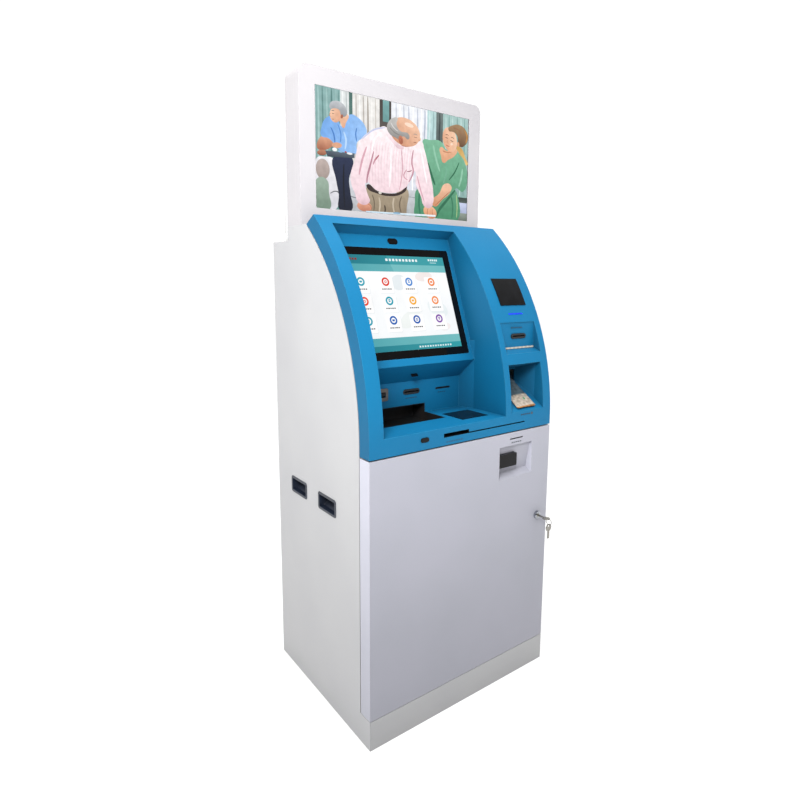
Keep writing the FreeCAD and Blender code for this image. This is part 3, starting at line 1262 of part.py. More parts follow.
def cash_outlet():
    """Sloping tray that banknotes slide down, narrowing to a throat at its back."""
    points = cavity_points("outlet_low", "outlet_high", [
        (OUTLET_BACK, OUTLET_FLOOR),
        (OUTLET_BACK, f"{OUTLET_FLOOR} + throat_tall"),
    ])
    cavity = prism("outlet_cavity", "YZ_Plane", points, OUTLET_X[0], OUTLET_X[1])
    liner = prism("outlet_pan", "YZ_Plane", points, OUTLET_X[0], OUTLET_X[1])
    hollow(liner, "liner_wall", behind_skin, True)
    right = tapered("outlet_right", liner, cavity, OUTLET_X[1], behind("outlet_front"), OUTLET_BACK,
                    "-outlet_taper")
    left = tapered("outlet_left", right, cavity, OUTLET_X[0], behind("outlet_front"), OUTLET_BACK,
                   "outlet_taper")
    throat = block("outlet_throat", centred("outlet_x", "outlet_width - 2 * outlet_taper"),
                   (f"{OUTLET_BACK} - through", f"{OUTLET_BACK} + mouth_lap"),
                   (OUTLET_FLOOR, f"{OUTLET_FLOOR} + throat_tall - mouth_lap"))
    node("cash_tray", cut("tray_cut", left, [throat]))


def banknotes():
    """Fan of notes on the tray's slope."""
    slope = math.degrees(math.atan(value("outlet_fall")))
    foot = Vector(value("outlet_x + note_shift"), value(FRONT), value("outlet_low"))
    count = int(value("note_count"))
    notes = []
    for step in range(count):
        note = doc.addObject("Part::Box", f"note_{step}")
        bind(note, "Length", "note_width")
        bind(note, "Width", "note_length")
        bind(note, "Height", "note_sheet")
        lift = value("2 * play") + step * value("note_sheet + liner_play")
        tilt = Rotation(Vector(1, 0, 0), slope)
        lean = tilt.multiply(
            Rotation(Vector(0, 0, 1), value("note_fan") * (step - (count - 1) / 2)))
        start = lean.multVec(Vector(-value("note_width") / 2, 0, 0))
        along = tilt.multVec(Vector(0, value("mouth_lap"), lift))
        note.Placement = Placement(foot + along + start, lean)
        notes.append(note)
    node("banknotes", group("notes", notes))


cash_outlet()
banknotes()


def crown(across):
    """Height of the hood's sloping top return at a Y."""
    fall = f"({HOOD_HIGH} - {CROWN_LEVEL}) / ({CROWN_REAR} - {skin(HOOD_HIGH)})"
    return f"({HOOD_HIGH} - (({across}) - {skin(HOOD_HIGH)}) * {fall})"


def hood_hinge():
    """Piano hinge along the hood's top rear edge: fixed leaf with pin, and the moving leaf."""
    half = "hinge_length / 2"
    pitch = "(hinge_length / knuckles)"
    near = f"({HINGE[0]} - leaf_reach)"
    far = f"({near} - leaf_width)"
    pin = rod("hinge_rod", "X", (f"-{half}", *HINGE), "hinge_pin", "hinge_length")
    fixed = []
    moving = []
    for step in range(int(value("knuckles"))):
        start = f"(-{half} + {step} * {pitch} + play)"
        span = (start, f"{start} + {pitch} - 2 * play")
        barrel = rod(f"knuckle_{step}", "X", (start, *HINGE), "hinge_radius", f"{pitch} - 2 * play")
        if step % 2:
            web = block(f"fixed_web_{step}", span, (HINGE[0], f"{HINGE[0]} + hinge_radius"),
                        ("cabinet_height", HINGE[1]))
            fixed += [barrel, web]
        else:
            web = block(f"moving_web_{step}", span, (f"{near} - through", HINGE[0]),
                        (f"{crown(near + ' - through')} + play", f"{crown(near)} + play + strap"))
            bore = rod(f"knuckle_bore_{step}", "X", (f"{start} - through", *HINGE),
                       "hinge_pin + pin_play", f"{pitch} + 2 * through")
            moving.append(cut(f"moving_knuckle_{step}", joined(f"moving_{step}", [barrel, web]),
                              [bore]))
    leaf = block("fixed_leaf", (f"-{half}", half),
                 (f"{HINGE[0]} + hinge_pin", f"{DISPLAY_Y[0]} - through"),
                 ("cabinet_height", "cabinet_height + sheet"))
    node("hood_hinge", joined("hinge_fixed", [pin, leaf, *fixed]))
    flap = prism("moving_leaf", "YZ_Plane", [
        (far, f"{crown(far)} + play"),
        (near, f"{crown(near)} + play"),
        (near, f"{crown(near)} + play + strap"),
        (far, f"{crown(far)} + play + strap"),
    ], f"-{half}", half)
    node("hinge_strap", joined("hinge_moving", [flap, *moving]))


hood_hinge()


def hood_stay():
    """Prop rod that hangs inside the hood's left return and swings back to hold it up."""
    x = f"({LEFT} + stay_inset)"
    eye = rod("stay_eye_ring", "X", (f"{x} - stay_eye / 2", STAY_Y, "stay_level"),
              "stay_boss * 2", "stay_eye")
    hole = rod("stay_hole", "X", (f"{x} - stay_eye", STAY_Y, "stay_level"),
               "stay_boss + pin_play", "stay_eye * 2")
    shaft = rod("stay_shaft", "Z", (x, STAY_Y, "stay_level - stay_length"), "stay_radius",
                "stay_length - stay_boss - through")
    node("hood_stay", cut("stay", joined("stay_whole", [eye, shaft]), [hole]))


hood_stay()

# ---- check and write ----

doc.recompute()
faults = [item.Name for item in doc.Objects if {"Invalid", "Error"} & set(item.State)]
if faults:
    raise RuntimeError(f"failed objects: {faults}")
os.makedirs("parts", exist_ok=True)
for item in nodes:
    shape = item.Shape
    if shape.isNull() or not shape.isValid() or not shape.Solids:
        raise RuntimeError(f"{item.Label} has no valid solid")
    shape.exportStep(f"parts/{item.Label}.step")
print(len(nodes), "nodes")
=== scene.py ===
import json
import math

import bpy
from mathutils import Matrix, Vector


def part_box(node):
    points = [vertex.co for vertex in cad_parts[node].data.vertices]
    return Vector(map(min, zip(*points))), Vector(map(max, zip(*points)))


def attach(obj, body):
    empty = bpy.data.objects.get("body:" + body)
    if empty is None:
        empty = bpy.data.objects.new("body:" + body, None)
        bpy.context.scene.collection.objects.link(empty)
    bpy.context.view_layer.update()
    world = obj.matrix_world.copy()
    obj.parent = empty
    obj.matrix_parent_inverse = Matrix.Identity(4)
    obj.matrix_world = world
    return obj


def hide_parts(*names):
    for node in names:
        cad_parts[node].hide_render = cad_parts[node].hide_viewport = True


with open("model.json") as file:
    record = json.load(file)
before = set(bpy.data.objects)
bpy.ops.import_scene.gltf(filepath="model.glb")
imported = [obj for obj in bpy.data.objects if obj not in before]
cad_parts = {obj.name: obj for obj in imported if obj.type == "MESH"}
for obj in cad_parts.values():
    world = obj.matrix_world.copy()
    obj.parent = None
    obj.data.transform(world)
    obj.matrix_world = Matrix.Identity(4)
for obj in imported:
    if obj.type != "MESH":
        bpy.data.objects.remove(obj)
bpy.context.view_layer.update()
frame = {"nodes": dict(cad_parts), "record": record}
nodes = frame["nodes"]
slotOf = {row["node"]: row["material_slot"] for row in frame["record"]["subparts"]}
millimetre = 0.001
print("frame loaded:", len(nodes), "nodes")


# small tools for materials

def linear(hexColour):
    channels = [int(hexColour[place:place + 2], 16) / 255 for place in (1, 3, 5)]
    return [c / 12.92 if c <= 0.04045 else ((c + 0.055) / 1.055) ** 2.4 for c in channels] + [1.0]


def feed(tree, node, inputs):
    # a socket takes another node's first working output, a named output or a plain value
    for socket, source in inputs.items():
        if isinstance(source, bpy.types.Node):
            source = next(output for output in source.outputs if output.enabled)
        if isinstance(source, bpy.types.NodeSocket):
            tree.links.new(source, node.inputs[socket])
        else:
            node.inputs[socket].default_value = source


def addNode(tree, kind, settings=None, inputs=None, stops=None):
    # one node with its settings, its links or values, and its ramp colours
    node = tree.nodes.new("ShaderNode" + kind)
    for name, setting in (settings or {}).items():
        setattr(node, name, setting)
    feed(tree, node, inputs or {})
    if stops:
        elements = node.color_ramp.elements
        while len(elements) < len(stops):
            elements.new(0.5)
        for element, (place, colour) in zip(elements, stops):
            element.position = place
            element.color = linear(colour) if isinstance(colour, str) else [colour] * 3 + [1.0]
    return node


# settings of the two colour mixes that every finish uses
multiply = {"data_type": "RGBA", "blend_type": "MULTIPLY"}
blend = {"data_type": "RGBA"}


def startMaterial(name, fixed):
    # fixed holds the values that are the same all over the surface
    material = bpy.data.materials.new(name)
    material.use_nodes = True
    tree = material.node_tree
    shader = tree.nodes["Principled BSDF"]
    feed(tree, shader, fixed)
    place = addNode(tree, "TexCoord")
    return material, tree, shader, place.outputs["Object"]


def perMillimetre(size):
    # noise scale that gives features of a real size in millimetres
    return 1000.0 / size


def powderCoat(name, look):
    # powder-coated sheet steel: even colour and a fine orange-peel skin, with painted light: a painted
    # highlight along the edges, sides and fronts painted lighter or darker for how light falls, and
    # painted shade in deep corners and towards the floor
    material, tree, shader, place = startMaterial(name, {"IOR": 1.36})
    broad = addNode(tree, "TexNoise", None,
                    {"Vector": place, "Scale": perMillimetre(260), "Detail": 2.0})
    peel = addNode(tree, "TexNoise", None,
                   {"Vector": place, "Scale": perMillimetre(look["peel"][0]), "Detail": 3.0})
    speck = addNode(tree, "TexVoronoi", None,
                    {"Vector": place, "Scale": perMillimetre(look["speck"][0])})
    base = addNode(tree, "ValToRGB", None, {"Fac": broad},
                   [(0.3, look["shade"]), (0.7, look["colour"])])
    grainy = addNode(tree, "MapRange", None,
                     {"Value": speck, "From Max": 0.7,
                      "To Min": 1.0 - look["speck"][1], "To Max": 1.0})
    tinted = addNode(tree, "Mix", multiply,
                     {0: 1.0, 6: base, 7: grainy})
    soft = addNode(tree, "Bevel", {"samples": 4}, {"Radius": 1.3 * millimetre})
    sharp = addNode(tree, "NewGeometry")
    turned = addNode(tree, "VectorMath", {"operation": "DOT_PRODUCT"},
                     {0: soft, 1: sharp.outputs["Normal"]})
    # a paler edge colour where the bevelled normal leaves the flat one: a painted highlight along the
    # edges
    edge = addNode(tree, "MapRange", None,
                   {"Value": turned, "From Min": 0.99, "From Max": 0.8,
                    "To Min": 0.0, "To Max": look["edgeHighlight"]})
    surfaceTone = addNode(tree, "Mix", blend,
                   {0: edge, 6: tinted, 7: linear(look["edge"])})
    # darker towards the floor: painted shade for the light falling off lower down
    split = addNode(tree, "SeparateXYZ", None, {"Vector": place})
    lowShade = addNode(tree, "MapRange", {"interpolation_type": "SMOOTHSTEP"},
                   {"Value": split.outputs["Z"], "From Max": 0.85, "To Min": look["lowShade"],
                    "To Max": 1.0})
    # darker in deep corners and recesses, by ambient occlusion: painted shade
    deep = addNode(tree, "AmbientOcclusion", {"samples": 4}, {"Distance": 0.14})
    hollow = addNode(tree, "MapRange", None,
                     {"Value": deep.outputs["AO"], "From Min": 0.15, "From Max": 0.85,
                      "To Min": look["hollow"], "To Max": 1.0})
    shade = addNode(tree, "Math", {"operation": "MULTIPLY"},
                    {0: lowShade, 1: hollow})
    # faces turned to the left (-X) or to the front (-Y) drawn lighter or darker: painted light and
    # shade for how the light falls on each side
    facing = addNode(tree, "VectorTransform",
                     {"vector_type": "NORMAL", "convert_from": "WORLD", "convert_to": "OBJECT"},
                     {"Vector": sharp.outputs["Normal"]})
    for direction, amount in (((-1.0, 0.0, 0.0), look["sideLight"]), ((0.0, -1.0, 0.0), look["frontLight"])):
        towards = addNode(tree, "VectorMath", {"operation": "DOT_PRODUCT"},
                          {0: facing, 1: direction})
        sideLightFactor = addNode(tree, "MapRange", None,
                       {"Value": towards, "From Min": 0.8, "From Max": 0.95,
                        "To Min": 1.0, "To Max": amount})
        shade = addNode(tree, "Math", {"operation": "MULTIPLY"},
                        {0: shade, 1: sideLightFactor})
    # the paint with its painted highlight and painted shade
    paintWithPaintedLight = addNode(tree, "Mix", multiply,
                    {0: 1.0, 6: surfaceTone, 7: shade})
    sheen = addNode(tree, "MapRange", None,
                    {"Value": peel, "From Min": 0.3, "From Max": 0.7,
                     "To Min": look["roughness"] - 0.05, "To Max": look["roughness"] + 0.05})
    skin = addNode(tree, "Bump", None,
                   {"Height": peel, "Strength": 0.25,
                    "Distance": look["peel"][1] * millimetre, "Normal": soft})
    feed(tree, shader, {"Base Color": paintWithPaintedLight, "Roughness": sheen, "Normal": skin})
    return material


def platedSteel(name, look):
    # zinc-plated or nickel-plated steel: clear metal with a mottled, slightly brushed surface
    material, tree, shader, place = startMaterial(name, {"Metallic": 1.0})
    stretch = addNode(tree, "Mapping", None, {"Vector": place, "Scale": look["stretch"]})
    mottle = addNode(tree, "TexVoronoi", None,
                     {"Vector": place, "Scale": perMillimetre(look["spangle"])})
    brush = addNode(tree, "TexNoise", None,
                    {"Vector": stretch, "Scale": perMillimetre(look["grain"]),
                     "Detail": 4.0})
    surfaceTone = addNode(tree, "Math", {"operation": "MULTIPLY_ADD"},
                   {0: mottle, 1: 0.4, 2: brush})
    base = addNode(tree, "ValToRGB", None, {"Fac": surfaceTone},
                   [(0.35, look["shade"]), (0.85, look["colour"])])
    rough = addNode(tree, "MapRange", None,
                    {"Value": surfaceTone, "From Min": 0.3, "From Max": 0.9,
                     "To Min": look["roughness"] - 0.07, "To Max": look["roughness"] + 0.07})
    soft = addNode(tree, "Bevel", {"samples": 4}, {"Radius": 0.5 * millimetre})
    skin = addNode(tree, "Bump", None,
                   {"Height": brush, "Strength": 0.2, "Distance": 0.05 * millimetre,
                    "Normal": soft})
    feed(tree, shader, {"Base Color": base, "Roughness": rough, "Normal": skin})
    return material


def mouldedPlastic(name, look):
    # injection-moulded ABS: spark-eroded grain, a little gloss and finger smears
    material, tree, shader, place = startMaterial(name, {"IOR": 1.53})
    grain = addNode(tree, "TexNoise", None,
                    {"Vector": place, "Scale": perMillimetre(look["grain"]), "Detail": 2.0})
    smear = addNode(tree, "TexNoise", None,
                    {"Vector": place, "Scale": perMillimetre(45), "Detail": 3.0})
    base = addNode(tree, "ValToRGB", None, {"Fac": smear},
                   [(0.3, look["shade"]), (0.7, look["colour"])])
    rough = addNode(tree, "MapRange", None,
                    {"Value": smear, "From Min": 0.3, "From Max": 0.7,
                     "To Min": look["roughness"] - 0.06, "To Max": look["roughness"] + 0.06})
    soft = addNode(tree, "Bevel", {"samples": 4}, {"Radius": 0.7 * millimetre})
    skin = addNode(tree, "Bump", None,
                   {"Height": grain, "Strength": look["bump"],
                    "Distance": 0.08 * millimetre, "Normal": soft})
    feed(tree, shader, {"Base Color": base, "Roughness": rough, "Normal": skin})
    return material


def glossSheet(name, look):
    # smoked acrylic or back-printed glass: near black, glossy, with faint wiping marks
    material, tree, shader, place = startMaterial(name, {"IOR": look["ior"]})
    stretch = addNode(tree, "Mapping", None, {"Vector": place, "Scale": (1.0, 1.0, 0.35)})
    wipe = addNode(tree, "TexNoise", None,
                   {"Vector": stretch, "Scale": perMillimetre(30), "Detail": 5.0})
    base = addNode(tree, "ValToRGB", None, {"Fac": wipe},
                   [(0.35, look["shade"]), (0.75, look["colour"])])
    rough = addNode(tree, "MapRange", None,
                    {"Value": wipe, "From Min": 0.35, "From Max": 0.75,
                     "To Min": look["roughness"], "To Max": look["roughness"] + 0.08})
    feed(tree, shader, {"Base Color": base, "Roughness": rough})
    return material


def litPicture(name, look):
    # a lit panel: the ink comes from each mesh, with a faint grid of picture cells, behind a
    # glossy front; the cells are drawn at 1.2 mm, coarser than real ones, so that they show
    material, tree, shader, place = startMaterial(name, {
        "IOR": 1.5, "Roughness": 0.35, "Coat Weight": look["gloss"], "Coat Roughness": 0.04,
        "Emission Strength": look["glow"]})
    ink = addNode(tree, "Attribute", {"attribute_name": "ink"})
    cloud = addNode(tree, "TexNoise", None,
                    {"Vector": place, "Scale": perMillimetre(look["blotch"]), "Detail": 4.0})
    cell = addNode(tree, "TexWave", {"bands_direction": "X"},
                   {"Vector": place, "Scale": perMillimetre(1.2) / 6.283, "Distortion": 0.0})
    light = addNode(tree, "MapRange", None,
                    {"Value": cloud, "From Min": 0.3, "From Max": 0.7,
                     "To Min": 1.0 - look["depth"], "To Max": 1.0 + look["depth"]})
    lined = addNode(tree, "Math", {"operation": "MULTIPLY_ADD"},
                    {0: cell.outputs["Fac"], 1: 0.03, 2: light})
    shown = addNode(tree, "Mix", multiply,
                    {0: 1.0, 6: ink, 7: lined})
    dim = addNode(tree, "Mix", multiply,
                  {0: 1.0, 6: shown, 7: [look["body"]] * 3 + [1.0]})
    deep = addNode(tree, "Gamma", None,
                   {"Color": shown, "Gamma": look["contrast"]})
    feed(tree, shader, {"Base Color": dim, "Emission Color": deep})
    return material


def fibrePaper(name, look):
    # uncoated or thermal paper: matt, with fine fibres
    material, tree, shader, place = startMaterial(name, {"IOR": 1.45})
    fibre = addNode(tree, "TexNoise", None,
                    {"Vector": place, "Scale": perMillimetre(1.5), "Detail": 6.0})
    base = addNode(tree, "ValToRGB", None, {"Fac": fibre},
                   [(0.3, look["shade"]), (0.7, look["colour"])])
    rough = addNode(tree, "MapRange", None,
                    {"Value": fibre, "To Min": 0.7, "To Max": 0.95})
    skin = addNode(tree, "Bump", None, {"Height": fibre, "Strength": 0.3,
                                        "Distance": 0.05 * millimetre})
    feed(tree, shader, {"Base Color": base, "Roughness": rough, "Normal": skin})
    return material


def printedNote(name, look):
    # cotton banknote paper with fine line printing: bands, a rosette and a coloured edge
    material, tree, shader, place = startMaterial(name, {"IOR": 1.45, "Roughness": 0.7})
    sheetMap = addNode(tree, "UVMap", {"uv_map": "note"})
    wave = addNode(tree, "TexWave", {"bands_direction": "DIAGONAL"},
                   {"Vector": sheetMap, "Scale": 9.0, "Distortion": 5.0, "Detail": 2.0})
    rosette = addNode(tree, "TexWave", {"wave_type": "RINGS", "rings_direction": "SPHERICAL"},
                      {"Vector": sheetMap, "Scale": 4.0, "Distortion": 3.0})
    split = addNode(tree, "SeparateXYZ", None, {"Vector": sheetMap})
    bands = addNode(tree, "ValToRGB", {}, {"Fac": split.outputs["Y"]},
                    [(0.0, look["edge"]), (0.03, look["edge"]), (0.05, look["paper"]),
                     (0.4, look["paper"]), (0.46, look["shade"]), (1.0, look["ink"])])
    lines = addNode(tree, "Math", {"operation": "MULTIPLY_ADD"},
                    {0: wave.outputs["Fac"], 1: 0.22, 2: 0.78})
    rings = addNode(tree, "Math", {"operation": "MULTIPLY_ADD"},
                    {0: rosette.outputs["Fac"], 1: 0.15, 2: 0.85})
    both = addNode(tree, "Math", {"operation": "MULTIPLY"},
                   {0: lines, 1: rings})
    shown = addNode(tree, "Mix", multiply,
                    {0: 1.0, 6: bands, 7: both})
    crease = addNode(tree, "TexNoise", None,
                     {"Vector": place, "Scale": perMillimetre(12), "Detail": 3.0})
    mottle = addNode(tree, "MapRange", None,
                     {"Value": crease, "From Min": 0.35, "From Max": 0.65,
                      "To Min": 0.55, "To Max": 1.1})
    handled = addNode(tree, "Mix", multiply,
                      {0: 1.0, 6: shown, 7: mottle})
    apart = addNode(tree, "VectorMath", {"operation": "DISTANCE"},
                    {0: sheetMap, 1: (0.7, 0.27, 0.0)})
    seal = addNode(tree, "Math", {"operation": "LESS_THAN"},
                   {0: apart, 1: 0.045})
    sealed = addNode(tree, "Mix", blend,
                     {0: seal, 6: handled, 7: linear(look["seal"])})
    skin = addNode(tree, "Bump", None, {"Height": crease, "Strength": 0.3,
                                        "Distance": 0.4 * millimetre})
    feed(tree, shader, {"Base Color": sealed, "Normal": skin})
    return material


def litDiffuser(name, look):
    # opal diffuser over diodes: the upper line shines blue, the strip in the niche warm white
    material, tree, shader, place = startMaterial(name, {"Roughness": 0.4,
                                                         "Emission Strength": look["glow"]})
    split = addNode(tree, "SeparateXYZ", None, {"Vector": place})
    upper = addNode(tree, "Math", {"operation": "GREATER_THAN"},
                    {0: split.outputs["Z"], 1: look["splitLevel"]})
    spots = addNode(tree, "TexWave", {"bands_direction": "X"},
                    {"Vector": place, "Scale": perMillimetre(9) / 6.283})
    ramp = addNode(tree, "Mix", blend,
                   {0: upper, 6: linear(look["lower"]), 7: linear(look["upper"])})
    pulse = addNode(tree, "MapRange", None,
                    {"Value": spots.outputs["Fac"], "To Min": 0.75, "To Max": 1.0})
    shown = addNode(tree, "Mix", multiply,
                    {0: 1.0, 6: ramp, 7: pulse})
    feed(tree, shader, {"Base Color": shown, "Emission Color": shown})
    return material


slotMaterials = {
    # in each paint, the edge colour and its amount give a painted highlight along the edges; the next
    # four numbers give painted shade towards the floor and in corners, and painted light and shade on
    # the left sides and the fronts
    "panel_paint": powderCoat("paleGreyPowderCoat", {
        "colour": "#c6c6c7", "shade": "#c0c0c2", "edge": "#e6e6e8", "edgeHighlight": 0.5,
        "lowShade": 0.84, "hollow": 0.8, "sideLight": 0.97, "frontLight": 0.8,
        "roughness": 0.45, "peel": (2.2, 0.12), "speck": (1.6, 0.03)}),
    # the panels' grey drawn darker and bluer as painted shade on the door's front, with its returns
    # lifted back to the panel grey by the side factor
    "door_paint": powderCoat("greyPowderCoatWithPaintedShade", {
        "colour": "#b0b0bb", "shade": "#abacb6", "edge": "#dedee4", "edgeHighlight": 0.5,
        "lowShade": 0.7, "hollow": 0.85, "sideLight": 1.4, "frontLight": 1.0,
        "roughness": 0.42, "peel": (2.2, 0.12), "speck": (1.6, 0.03)}),
    "display_paint": powderCoat("whiteSatinPowderCoat", {
        "colour": "#c6c3c5", "shade": "#bfbcc0", "edge": "#e8e6e8", "edgeHighlight": 0.5,
        "lowShade": 1.0, "hollow": 0.75, "sideLight": 0.98, "frontLight": 0.95,
        "roughness": 0.4, "peel": (2.0, 0.1), "speck": (1.6, 0.02)}),
    "hood_paint": powderCoat("blueSatinPowderCoat", {
        "colour": "#04719f", "shade": "#036a97", "edge": "#3aa3cf", "edgeHighlight": 0.6,
        "lowShade": 0.9, "hollow": 0.42, "sideLight": 0.8, "frontLight": 1.0,
        "roughness": 0.55, "peel": (2.0, 0.12), "speck": (1.6, 0.04)}),
    "black_paint": powderCoat("blackWrinklePaint", {
        "colour": "#26272a", "shade": "#1e1f22", "edge": "#4a4b4e", "edgeHighlight": 0.6,
        "lowShade": 0.9, "hollow": 0.9, "sideLight": 1.0, "frontLight": 1.0,
        "roughness": 0.6, "peel": (1.2, 0.4), "speck": (1.0, 0.12)}),
    "zinc_steel": platedSteel("zincPlatedSteel", {
        "colour": "#d5d7d9", "shade": "#a9adb1", "spangle": 9.0, "grain": 2.5,
        "stretch": (1.0, 1.0, 0.25), "roughness": 0.38}),
    "screw_steel": platedSteel("brightZincSteel", {
        "colour": "#cfd0d2", "shade": "#9b9da1", "spangle": 3.0, "grain": 1.2,
        "stretch": (1.0, 1.0, 1.0), "roughness": 0.3}),
    "lock_chrome": platedSteel("polishedChrome", {
        "colour": "#b4b7bd", "shade": "#6c7077", "spangle": 12.0, "grain": 4.0,
        "stretch": (1.0, 1.0, 1.0), "roughness": 0.12}),
    "key_nickel": platedSteel("nickelSilver", {
        "colour": "#a5a29b", "shade": "#605e59", "spangle": 4.0, "grain": 0.8,
        "stretch": (1.0, 0.2, 1.0), "roughness": 0.27}),
    "reader_steel": platedSteel("brushedSteelPlate", {
        "colour": "#7a726c", "shade": "#5a5450", "spangle": 20.0, "grain": 0.9,
        "stretch": (0.08, 1.0, 1.0), "roughness": 0.35}),
    "cup_plastic": mouldedPlastic("blueBlackMouldedAbs", {
        "colour": "#222a3a", "shade": "#1a2130", "grain": 0.9, "bump": 0.4, "roughness": 0.38}),
    "cassette_plastic": mouldedPlastic("greyMouldedAbs", {
        "colour": "#4d5258", "shade": "#43484e", "grain": 0.9, "bump": 0.4, "roughness": 0.45}),
    "black_plastic": mouldedPlastic("blackMouldedAbs", {
        "colour": "#1c1d1f", "shade": "#151617", "grain": 0.8, "bump": 0.4, "roughness": 0.42}),
    "pocket_plastic": mouldedPlastic("brownBlackMouldedAbs", {
        "colour": "#1b1513", "shade": "#0d161b", "grain": 0.8, "bump": 0.4, "roughness": 0.5}),
    "antenna_plastic": mouldedPlastic("whiteMouldedAbs", {
        "colour": "#ebebe8", "shade": "#e0e0dd", "grain": 0.8, "bump": 0.3, "roughness": 0.4}),
    "gloss_black": glossSheet("smokedAcrylic", {
        "colour": "#101114", "shade": "#070708", "ior": 1.32, "roughness": 0.08}),
    "advert_glass": glossSheet("blackPrintedCoverGlass", {
        "colour": "#1d1f22", "shade": "#131416", "ior": 1.4, "roughness": 0.06}),
    "screen_glass": glossSheet("blackPrintedTouchGlass", {
        "colour": "#050506", "shade": "#020203", "ior": 1.32, "roughness": 0.06}),
    "receipt_paper": fibrePaper("thermalPaper", {"colour": "#f4f3ee", "shade": "#e8e7e1"}),
    "note_paper": printedNote("banknotePaper", {
        "paper": "#cdbfae", "ink": "#6f7f86", "shade": "#4f6068", "edge": "#b7804c",
        "seal": "#2e8f68"}),
    "light_diffuser": litDiffuser("opalDiffuser", {
        "glow": 0.95, "splitLevel": 1.15, "upper": "#0a16ff", "lower": "#98938a"}),
}
for nodeName, cadNode in nodes.items():
    cadNode.data.materials.clear()
    cadNode.data.materials.append(slotMaterials[slotOf[nodeName]])
print("materials made:", len(slotMaterials))


# small tools for new pieces

def deselectAll():
    if bpy.context.object and bpy.context.object.mode != "OBJECT":
        bpy.ops.object.mode_set(mode="OBJECT")
    bpy.ops.object.select_all(action="DESELECT")


def makeActive(piece):
    deselectAll()
    piece.select_set(True)
    bpy.context.view_layer.objects.active = piece
    return piece


def addPiece(operator, **settings):
    deselectAll()
    operator(**settings)
    return bpy.context.object


def editAll(operator, **settings):
    # one operator on the whole of the active mesh
    bpy.ops.object.mode_set(mode="EDIT")
    bpy.ops.mesh.select_all(action="SELECT")
    operator(**settings)
    bpy.ops.object.mode_set(mode="OBJECT")


def smoothUnder(piece, degrees):
    makeActive(piece)
    bpy.ops.object.shade_smooth_by_angle(angle=math.radians(degrees))
    return piece


def closeMesh(piece):
    # merges what an operator left doubled and turns every face outwards
    makeActive(piece)
    editAll(bpy.ops.mesh.remove_doubles, threshold=0.000002)
    editAll(bpy.ops.mesh.normals_make_consistent, inside=False)


def applyPlace(piece, matrix=None):
    makeActive(piece)
    if matrix is not None:
        piece.matrix_world = matrix
    bpy.ops.object.transform_apply(location=True, rotation=True, scale=True)
    return piece


def applyModifiers(piece):
    makeActive(piece)
    for modifier in list(piece.modifiers):
        bpy.ops.object.modifier_apply(modifier=modifier.name)


def joinPieces(pieces):
    makeActive(pieces[0])
    for piece in pieces:
        piece.select_set(True)
    bpy.ops.object.join()
    return bpy.context.object


def finishPiece(piece, name, body, slotName, material=None):
    piece.name = name
    piece.data.name = name
    piece.data.materials.clear()
    piece.data.materials.append(material or slotMaterials[slotName])
    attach(piece, body)
    return piece


def copyPiece(piece, shift):
    makeActive(piece)
    bpy.ops.object.duplicate(linked=False)
    twin = bpy.context.object
    twin.location = shift
    return applyPlace(twin)


def boardMatrix(corner, up=(0, 0, 1)):
    # places a drawing made in millimetres on a face of the kiosk
    across = Vector((1, 0, 0))
    out = across.cross(Vector(up)).normalized()
    turn = Matrix((across, out.cross(across), out)).transposed().to_4x4()
    return Matrix.Translation(corner) @ turn @ Matrix.Scale(millimetre, 4)


def rectangle(left, low, right, high):
    return [(left, low), (right, low), (right, high), (left, high)]


def oval(middle, reach, turn=0.0, count=12):
    points = []
    for step in range(count):
        angle = 2 * math.pi * step / count
        x, y = reach[0] * math.cos(angle), reach[1] * math.sin(angle)
        points.append((middle[0] + x * math.cos(turn) - y * math.sin(turn),
                       middle[1] + x * math.sin(turn) + y * math.cos(turn)))
    return points


def tile(middle, size, corner):
    points = []
    for step in range(16):
        angle = math.radians((step // 4) * 90 + (step % 4) * 30)
        side = ((1, 1), (-1, 1), (-1, -1), (1, -1))[step // 4]
        points.append((middle[0] + side[0] * (size[0] / 2 - corner) + corner * math.cos(angle),
                       middle[1] + side[1] * (size[1] / 2 - corner) + corner * math.sin(angle)))
    return points


def stroke(path, width):
    # a tapered brush mark along a path
    left, right = [], []
    last = len(path) - 1
    for place, (x, y) in enumerate(path):
        before = path[max(place - 1, 0)]
        after = path[min(place + 1, last)]
        along = Vector((after[0] - before[0], after[1] - before[1])).normalized()
        half = width / 2 * (0.25 if place in (0, last) else 1.0)
        left.append((x - along.y * half, y + along.x * half))
        right.append((x + along.y * half, y - along.x * half))
    return left + right[::-1]


def brush(ink, width, *path):
    return (ink,), stroke(path, width), True


def blob(inks, middle, reach, turn=0.0, count=12):
    return inks, oval(middle, reach, turn, count), True


